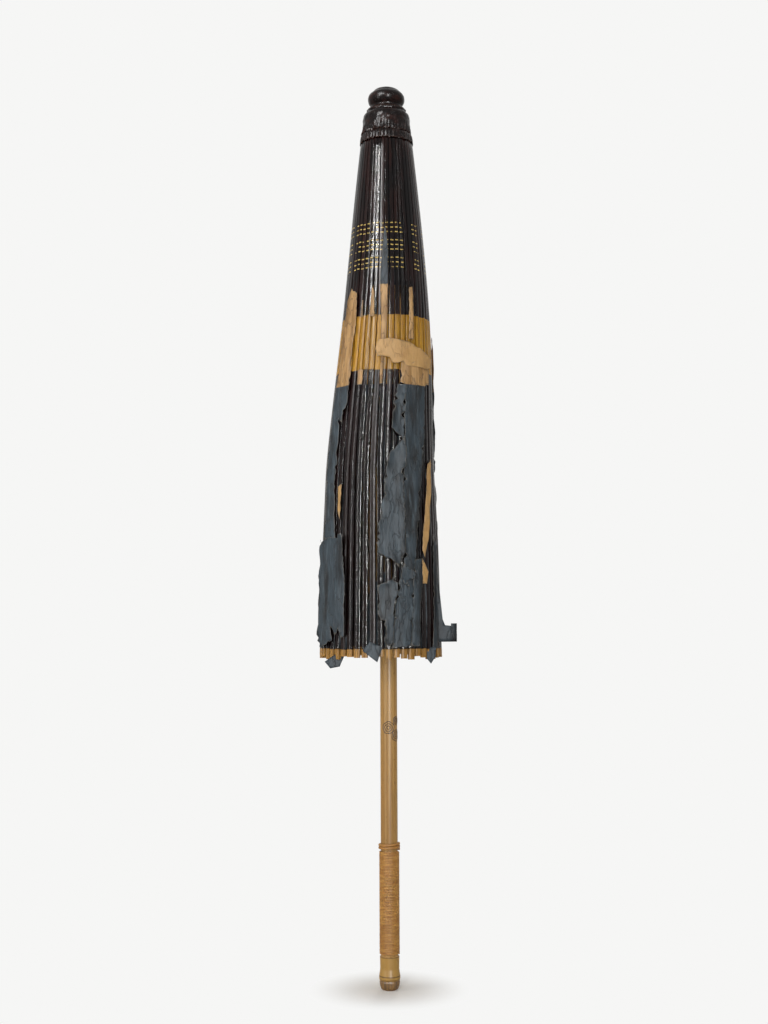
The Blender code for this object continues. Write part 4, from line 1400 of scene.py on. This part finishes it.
@dataclass
class Crown:
    """The lacquered cap over the hub and the turned knob above it."""

    hem: float = 739.3 * MM
    top: float = 762.3 * MM
    hem_radius: float = 21.9 * MM
    lip_radius: float = 17.4 * MM
    skirt_low: float = 730.5 * MM
    knob_top: float = 780 * MM
    wall_radius: float = 20.6 * MM  # where the shoulder turns into the wall
    bore_radius: float = 6.7 * MM
    well_radius: float = 16.4 * MM  # the room inside for the top hub
    well_top: float = 753.4 * MM

    def collar(self, finish: bpy.types.Material) -> None:
        """Makes the cap: a rolled lip, a shoulder and a wall that crumples at its hem.

        Args:
            finish: Its material.
        """
        rise = self.top - self.hem
        outside = [
            (10 * MM, self.top), (14.5 * MM, self.top + 0.1 * MM), (16.4 * MM, self.top - 0.4 * MM),
            (self.lip_radius, self.top - 1.5 * MM), (17.3 * MM, self.top - 2.6 * MM),
            (17.1 * MM, self.top - 3.4 * MM), (18.2 * MM, self.top - 4.4 * MM),
            (19.4 * MM, self.top - 5.6 * MM),
            (20.3 * MM, self.top - 7.2 * MM), (self.wall_radius, self.top - 9 * MM),
        ]
        steps = 16
        for i in range(1, steps + 1):
            t = i / steps
            flare = (self.hem_radius - self.wall_radius) * t**2.2
            outside.append((self.wall_radius + flare, self.top - 9 * MM - (rise - 9 * MM) * t))
        inside = [(self.hem_radius - 1.0 * MM, self.hem + 0.2 * MM), (19.9 * MM, self.hem + 5 * MM),
                  (self.well_radius, self.hem + rise * 0.64), (self.well_radius, self.well_top),
                  (self.bore_radius, self.well_top), (self.bore_radius, self.top)]

        def crumple(radius: float, angle: float, z: float) -> Vector:
            """Wrinkles the wall, most at its hem, where the lacquer runs over the rib heads.

            Args:
                radius: The point's radius before.
                angle: Its angle.
                z: Its height before.

            Returns:
                Its place.
            """
            if radius < 15 * MM or (radius < 16.6 * MM and z < self.top - 2 * MM):
                return polar(radius, angle, z)
            low = max(0.0, 1 - (z - self.hem) / (9 * MM))
            x, y = 9 * math.cos(angle), 9 * math.sin(angle)
            dent = 0.55 * MM * wander(x * 0.35, y * 0.35, z * 260) + 0.25 * MM * wander(x, y, z * 500)
            frill = 0.42 * MM * low * math.cos(angle * BUNDLE.ribs + 0.7 * wander(x, y, 3))
            frill += 0.6 * MM * low * low * wander(x * 1.3, y * 1.3, 8)
            rag = -1.3 * MM * low * low * (0.35 + wander(x * 1.7, y * 1.7, 5)) if low > 0.6 else 0.0
            return polar(radius + dent + frill, angle, z + rag)

        collar = turned("crown_cap", finish, outside + inside, 192, crumple, 50)
        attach(collar, "frame")
        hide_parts("crown_collar")

    def knob(self, finish: bpy.types.Material) -> None:
        """Makes the knob: a dished top with a rounded rim, a full belly and a waist.

        Args:
            finish: Its material.
        """
        foot = self.top + 0.3 * MM
        profile = [(0.0, self.knob_top - 0.9 * MM), (4 * MM, self.knob_top - 0.8 * MM),
                   (7.5 * MM, self.knob_top - 0.45 * MM), (8.6 * MM, self.knob_top - 0.05 * MM),
                   (9.6 * MM, self.knob_top - 0.2 * MM), (10.6 * MM, self.knob_top - 0.9 * MM),
                   (11.3 * MM, self.knob_top - 1.5 * MM)]
        for i in range(15):
            angle = math.radians(64 - 118 * i / 14)
            across, up = 7.0 * MM * math.cos(angle), 7.0 * MM * math.sin(angle)
            profile.append((9.3 * MM + across, foot + 8.3 * MM + up))
        profile += [(13.2 * MM, foot + 1.6 * MM), (13.3 * MM, foot + 0.9 * MM), (14.0 * MM, foot),
                    (5.3 * MM, foot), (5.3 * MM, foot + 6.6 * MM), (0.0, foot + 6.6 * MM)]

        def dent(radius: float, angle: float, z: float) -> Vector:
            """Gives the turned face the slight waves of thick lacquer.

            Args:
                radius: The point's radius before.
                angle: Its angle.
                z: Its height.

            Returns:
                Its place.
            """
            if radius < 6 * MM:
                return polar(radius, angle, z)
            x, y = 6 * math.cos(angle), 6 * math.sin(angle)
            return polar(radius + 0.3 * MM * wander(x * 0.4, y * 0.4, z * 300), angle, z)

        knob = turned("knob", finish, profile, 96, dent, 50)
        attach(knob, "frame")
        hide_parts("crown_knob")

    def skirt_point(self, angle: float, aside: float, rise: float) -> tuple[Vector, float]:
        """Finds a point of the skirt.

        Args:
            angle: Its angle round the shaft.
            aside: How far to the side of its strip it lies: -1 and 1 are the strip's edges.
            rise: How far up it lies: 0 is the lower edge and 1 the upper one, under the cap.

        Returns:
            Its place, and its share of the rib's motion.
        """
        x, y = 9 * math.cos(angle), 9 * math.sin(angle)
        low = self.skirt_low + 1.6 * MM * wander(x * 1.6, y * 1.6, 31) + 0.8 * MM * wander(x * 4, y * 4, 7)
        z = low + (self.hem + 0.4 * MM - low) * rise
        over = BUNDLE.radius(z) + 0.42 * MM + 0.16 * MM * math.cos(angle * BUNDLE.ribs)
        over += 0.2 * MM * wander(x * 0.9, y * 0.9, z * 400)
        over += 0.4 * MM * aside**2 * (1 - rise)
        under = self.hem_radius - 1.25 * MM
        tucked = min(1.0, max(0.0, (z - self.hem + 3.5 * MM) / (3.5 * MM))) ** 2
        share = min(1.0, max(0.0, (self.hem - 0.8 * MM - z) / (5.2 * MM)))
        return polar(over + (under - over) * tucked, angle, z), share * share * (3 - 2 * share)

    def skirt(self, finish: bpy.types.Material) -> list[bpy.types.Object]:
        """Makes the lacquered paper that runs from under the cap over the rib heads: a strip to a main rib.

        Its upper edge stays with the cap and its lower edge follows the rib.

        Args:
            finish: Its material.

        Returns:
            The strips.
        """
        strips = []
        turn = 2 * math.pi / BUNDLE.sectors
        columns, rows = 32, 8
        for sector in range(BUNDLE.sectors):
            number = f"{sector + 1:02d}"
            shape = Shape()
            grid = []
            for i in range(rows + 1):
                line = []
                for j in range(columns + 1):
                    angle = (sector - 0.5 + j / columns) * turn
                    place, share = self.skirt_point(angle, 2 * j / columns - 1, i / rows)
                    line.append(shape.point(place, 0.5, 0.0, share))
                grid.append(line)
            shape.grid(grid)
            strip = shape.build("crown_skirt_" + number, finish, 60)
            start = polar(self.hem_radius, sector * turn, self.hem)
            end = polar(self.hem_radius, sector * turn, self.skirt_low)
            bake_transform(strip, "frame", "rib_" + number, start=tuple(start), end=tuple(end))
            set_shares(strip, shape.values["share"])
            thicken(strip, 0.35 * MM)
            strips.append(strip)
        return strips

    def build(self, finish: bpy.types.Material) -> list[bpy.types.Object]:
        """Makes the cap, the knob and the skirt.

        Args:
            finish: Their material.

        Returns:
            The skirt's strips.
        """
        self.collar(finish)
        self.knob(finish)
        LOG.info("crown: cap, knob and skirt")
        return self.skirt(finish)


# --- grip ---


@dataclass
class Grip:
    """The cane winding of the grip and the thicker turns that finish it."""

    core: float = 7.45 * MM
    low: float = 29.2 * MM
    high: float = 116.2 * MM
    strip: float = 1.3 * MM
    binding_high: float = 123.4 * MM

    def wound(self, name: str, finish: bpy.types.Material, low: float, high: float, pitch: float,
              bulge: float, groove: float, seed: float) -> bpy.types.Object:
        """Winds one strip of cane round the shaft.

        Args:
            name: The object's name.
            finish: Its material.
            low: Height of the first turn's lower edge.
            high: Height of the last turn's upper edge.
            pitch: Width of a turn.
            bulge: How far the strip stands off the core.
            groove: How deep the groove between two turns is.
            seed: Shifts its unevenness.

        Returns:
            The new object.
        """
        shape = Shape()
        around = 40
        turns = (high - low) / pitch - 1
        rings = []
        for i in range(round(turns * around) + 1):
            angle = 2 * math.pi * i / around
            middle = low + pitch * (0.5 + i / around) + 0.10 * MM * wander(i * 0.06, seed)
            half = pitch * 0.485
            stand = bulge * (1 + 0.10 * wander(i * 0.045, seed, 3))
            low_edge = stand - groove
            section = [(0, half * 0.9, 1.0), (low_edge, half, 0.9), (stand - groove * 0.2, half * 0.66, 0.2),
                       (stand, 0, 0), (stand - groove * 0.2, -half * 0.66, 0.2), (low_edge, -half, 0.9),
                       (0, -half * 0.9, 1.0)]
            rings.append([shape.point(polar(self.core + off, angle, middle + dz), 0.5, edge)
                          for off, dz, edge in section])
        shape.tube(rings)
        return shape.build(name, finish, 60)

    def build(self, finish: bpy.types.Material) -> None:
        """Makes the winding and its binding.

        Args:
            finish: Their material.
        """
        wrap = self.wound("cane_winding", finish, self.low, self.high, self.strip, 1.15 * MM, 0.22 * MM, 1.0)
        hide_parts("grip_wrap")
        binding = self.wound("cane_binding", finish, self.high + 0.1 * MM, self.binding_high, 2.35 * MM,
                             1.85 * MM, 0.9 * MM, 7.0)
        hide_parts("grip_binding")
        for obj in (wrap, binding):
            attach(obj, "frame")
        LOG.info("grip: winding and binding")


@dataclass
class ShaftMarks:
    """Three roundels of plain rings burnt into the shaft above the grip."""

    shaft_radius: float = 7.25 * MM
    line: float = 0.36 * MM
    sunk: float = 0.14 * MM
    centres: tuple[tuple[float, float, float], ...] = ((-3, 220.8, 5.0), (58, 226.5, 3.3), (57, 214, 4.7))
    sizes: tuple[float, ...] = (1.0, 0.64, 0.28)

    def build(self, finish: bpy.types.Material) -> None:
        """Makes the rings as fine raised lines.

        Args:
            finish: Their material.
        """
        shape = Shape()
        for number, (degrees, height, full) in enumerate(self.centres):
            for size in (full * part for part in self.sizes):
                steps = 40
                rings = []
                for i in range(steps):
                    turn = 2 * math.pi * i / steps
                    waver = 0.05 * math.sin(5 * turn + number) + 0.04 * wander(turn, size, number)
                    reach = size * (1 + waver)
                    across, up = reach * math.cos(turn) * MM, reach * math.sin(turn) * MM
                    angle = FRONT + math.radians(degrees) + across / self.shaft_radius
                    out = polar(1, angle, 0)
                    spoke = polar(1, angle + math.pi / 2, 0) * math.cos(turn) + Vector((0, 0, math.sin(turn)))
                    centre = polar(self.shaft_radius - self.sunk, angle, height * MM + up)
                    rings.append([
                        shape.point(centre + (out * math.cos(a) + spoke * math.sin(a)) * self.line)
                        for a in (2 * math.pi * j / 6 for j in range(6))
                    ])
                shape.tube(rings, caps=False, loop=True)
        marks = shape.build("shaft_roundels", finish, 60)
        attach(marks, "frame")
        LOG.info("shaft marks: %d roundels", len(self.centres))


# --- stage ---


class Light(Enum):
    """What a lamp does: soft light on everything, or a slit of bright window that shiny faces show."""

    SOFT = "soft"
    GLINT = "glint"


# name, degrees round from the front, height, length and power: the high ones show on the upper ribs only
GLINTS = (
    ("high_glint_left", -40, 1.75, 0.9, 55),
    ("high_glint", -27, 1.75, 0.9, 62),
    ("low_glint", 10, 0.62, 1.1, 85),
    ("low_glint_left", -50, 0.62, 1.1, 26),
    ("glint_right", 45, 1.2, 1.95, 6),
)


@dataclass
class Stage:
    """A pale floor, soft light and the camera."""

    distance: float = 1.2465
    below: float = 3.9  # degrees that the camera stands below the umbrella's middle
    target_z: float = 405.8 * MM
    sideways: float = -3.4 * MM
    roll: float = -0.22
    focal_share: float = 1437.0 / 1024  # focal length as a share of the film's height
    film: Pair = (27.0, 36.0)  # width and height in millimetres
    floor_half: float = 6.0
    shadow: Pair = (0.012, 0.07)  # the floor fades into the surround between these distances
    lamp_away: float = 2.2

    def camera(self) -> None:
        """Makes the camera at the front."""
        data = bpy.data.cameras.new("camera")
        data.sensor_fit = "VERTICAL"
        data.sensor_width, data.sensor_height = self.film
        data.lens = self.focal_share * self.film[1]
        data.clip_start = 0.05
        obj = bpy.data.objects.new("camera", data)
        bpy.context.scene.collection.objects.link(obj)
        tilt = math.radians(self.below)
        back = Vector((0, -math.cos(tilt), -math.sin(tilt)))
        obj.location = Vector((self.sideways, 0, self.target_z)) + back * self.distance
        look = (-back).to_track_quat("-Z", "Y")
        obj.rotation_mode = "QUATERNION"
        obj.rotation_quaternion = look @ Quaternion((0, 0, 1), math.radians(self.roll))
        bpy.context.scene.camera = obj

    def world(self) -> None:
        """Makes a white surround that lights the umbrella more gently than it shows."""
        world = bpy.data.worlds.new("world")
        bpy.context.scene.world = world
        world.use_nodes = True
        tree = world.node_tree
        tree.nodes.clear()
        path = add_node(tree, "LightPath")
        seen = add_node(tree, "Math", {0: path.outputs["Is Camera Ray"], 1: path.outputs["Is Glossy Ray"]},
                        operation="MAXIMUM")
        seen = add_node(tree, "Math", {0: seen.outputs[0], 1: path.outputs["Is Transmission Ray"]},
                        operation="MAXIMUM")
        light = add_node(tree, "Background", {"Color": linear("#FBF9F6"), "Strength": 0.45})
        shown = add_node(tree, "Background", {"Color": linear("#F6F6F5"), "Strength": 1.0})
        both = add_node(tree, "MixShader", {0: seen.outputs[0], 1: light.outputs[0], 2: shown.outputs[0]})
        add_node(tree, "OutputWorld", {0: both.outputs[0]})

    def floor(self) -> None:
        """Makes the floor, which keeps a soft shadow near the butt and fades into the surround."""
        mesh = bpy.data.meshes.new("floor")
        half = self.floor_half
        mesh.from_pydata([(-half, -half, 0), (half, -half, 0), (half, half, 0), (-half, half, 0)], [],
                         [(0, 1, 2, 3)])
        obj = bpy.data.objects.new("floor", mesh)
        bpy.context.scene.collection.objects.link(obj)
        material = bpy.data.materials.new("pale_floor")
        material.use_nodes = True
        tree = material.node_tree
        tree.nodes.clear()
        where = add_node(tree, "TexCoord")
        far = add_node(tree, "VectorMath", {0: where.outputs["Object"]}, operation="LENGTH")
        ends = {"From Min": self.shadow[0], "From Max": self.shadow[1]}
        fade = add_node(tree, "MapRange", {"Value": far.outputs["Value"], **ends},
                        interpolation_type="SMOOTHSTEP")
        matt = add_node(tree, "BsdfDiffuse", {"Color": linear("#F6F5F3")})
        glow = add_node(tree, "Emission", {"Color": linear("#F6F6F5"), "Strength": 1.0})
        path = add_node(tree, "LightPath")
        share = add_node(tree, "Math", {0: fade.outputs[0], 1: path.outputs["Is Camera Ray"]},
                         operation="MULTIPLY")
        top = add_node(tree, "MixShader", {0: share.outputs[0], 1: matt.outputs[0], 2: glow.outputs[0]})
        clear = add_node(tree, "BsdfTransparent")
        side = add_node(tree, "NewGeometry")
        both = add_node(tree, "MixShader", {0: side.outputs["Backfacing"], 1: top.outputs[0],
                                            2: clear.outputs[0]})
        add_node(tree, "OutputMaterial", {0: both.outputs[0]})
        mesh.materials.append(material)

    def lamp(
        self, name: str, degrees: float, height: float, size: Pair, power: float, colour: str,
        light: Light = Light.SOFT,
    ) -> None:
        """Adds a soft box that faces the umbrella.

        Args:
            name: The lamp's name.
            degrees: Degrees round from the front.
            height: Its height in metres.
            size: Its width and height in metres.
            power: Its power in watts.
            colour: Its colour.
            light: Whether it lights everything evenly or only glints on shiny surfaces.
        """
        data = bpy.data.lights.new(name, "AREA")
        data.shape = "RECTANGLE"
        data.size, data.size_y = size
        data.energy = power
        data.color = linear(colour)[:3]
        obj = bpy.data.objects.new(name, data)
        bpy.context.scene.collection.objects.link(obj)
        obj.visible_diffuse = light is Light.SOFT
        obj.visible_glossy = light is Light.GLINT
        obj.location = polar(self.lamp_away, FRONT + math.radians(degrees), height)
        away = obj.location - Vector((0, 0, 0.42))
        obj.rotation_mode = "QUATERNION"
        obj.rotation_quaternion = away.to_track_quat("Z", "Y")

    def build(self) -> None:
        """Makes the camera, the surround, the floor and the lamps."""
        bpy.context.scene.view_settings.view_transform = "Standard"
        self.camera()
        self.world()
        self.floor()
        self.lamp("window", -14, 0.85, (0.25, 1.4), 18, "#FFFDF8")
        self.lamp("side_window", -70, 0.9, (0.4, 1.6), 8, "#FFF8F0")
        self.lamp("back_window", 170, 0.9, (0.4, 1.6), 14, "#FFFDF8")
        for name, degrees, height, length, power in GLINTS:
            self.lamp(name, degrees, height, (0.02, length), power, "#FFFFFF", Light.GLINT)
        LOG.info("stage: camera, floor, surround and lamps")


# --- the umbrella ---


def front_panel(degrees: float) -> int:
    """The number of the paper panel at some degrees round from the front."""
    return math.floor((FRONT + math.radians(degrees)) / BUNDLE.pitch) % BUNDLE.ribs


TEARS = (
    Tear(front_panel(-33), 300 * MM, 505 * MM, 8 * MM),
    Tear(front_panel(-26), 289 * MM, 516 * MM, -6 * MM),
    Tear(front_panel(-18), 289 * MM, 470 * MM, 10 * MM),
    Tear(front_panel(-11), 330 * MM, 508 * MM, -8 * MM),
    Tear(front_panel(-4), 345 * MM, 500 * MM, 6 * MM),
    Tear(front_panel(4), 352 * MM, 372 * MM, -6 * MM),
    Tear(front_panel(11), 346 * MM, 364 * MM, 4 * MM),
    Tear(front_panel(56), 289 * MM, 420 * MM, 12 * MM),
    Tear(front_panel(63), 400 * MM, 460 * MM, -8 * MM),
    Tear(front_panel(-56), 289 * MM, 340 * MM, 9 * MM),
    Tear(front_panel(-78), 300 * MM, 360 * MM, 5 * MM),
    Tear(front_panel(101), 330 * MM, 395 * MM, 6 * MM),
    Tear(front_panel(146), 289 * MM, 322 * MM, -7 * MM),
    Tear(front_panel(-132), 420 * MM, 452 * MM, 4 * MM),
    Tear(front_panel(-101), 289 * MM, 402 * MM, 9 * MM),
    Tear(front_panel(116), 455 * MM, 508 * MM, -6 * MM),
    Tear(front_panel(168), 360 * MM, 470 * MM, 8 * MM),
    Tear(front_panel(-162), 289 * MM, 380 * MM, -9 * MM),
)


def main() -> None:
    """Builds every sub-assembly in order."""
    logging.basicConfig(level=logging.INFO, format="%(name)s: %(message)s")
    Stage().build()
    rib_lacquer = RibLacquer().build()
    crown_lacquer = CrownLacquer().build()
    papers = {tone: OiledPaper(tone=tone).build() for tone in ("ringed", "slate", "charcoal", "tan")}
    cane = SplitCane().build()
    wood = PlainWood("hub_wood", "#4A3222", "#2E1E15", 0.6).build()
    thread = CottonThread().build()

    dress("shaft", Bamboo(butt=True).build())
    dress("butt_cap", PlainWood("dark_end_cap", "#8C6528", "#5A3F18", 0.5).build())
    dress("catch_spring", Bamboo("catch_bamboo", "#B08A52", "#8E6A38").build())
    for node in ("top_hub", "runner_hub", "crown_pin"):
        dress(node, wood)
    for node in ("hub_thread", "runner_thread"):
        dress(node, thread)
    LOG.info("fixed pieces dressed")

    Ribs().build(rib_lacquer)
    # Painted shade: the stretchers take a darker copy of the shaft's bamboo, so that they read dim inside the
    # folded bundle.
    Stretchers().build(Bamboo("stretcher_bamboo_shaded", "#94703F", "#6E4E28", Place.REST).build())
    canopy = Canopy(tears=TEARS)
    panels = canopy.build(papers["ringed"])
    small: dict[int, list[bpy.types.Object]] = {}
    for scrap in SCRAPS:
        sliver = scrap.build(papers[scrap.tone])
        if sliver is not None:
            small.setdefault(rib_near(scrap.host) // BUNDLE.ribs_per_sector, []).append(sliver)
        LOG.info("scrap: %s", scrap.name)
    for bit in LOOSE_BITS:
        bit.build(papers[bit.tone])
        LOG.info("loose bit: %s", bit.name)
    for sector, strip in enumerate(Crown().build(crown_lacquer)):
        small.setdefault(sector, []).append(strip)
    Grip().build(cane)
    ShaftMarks().build(BurntLine().build())


if __name__ == "__main__":
    main()
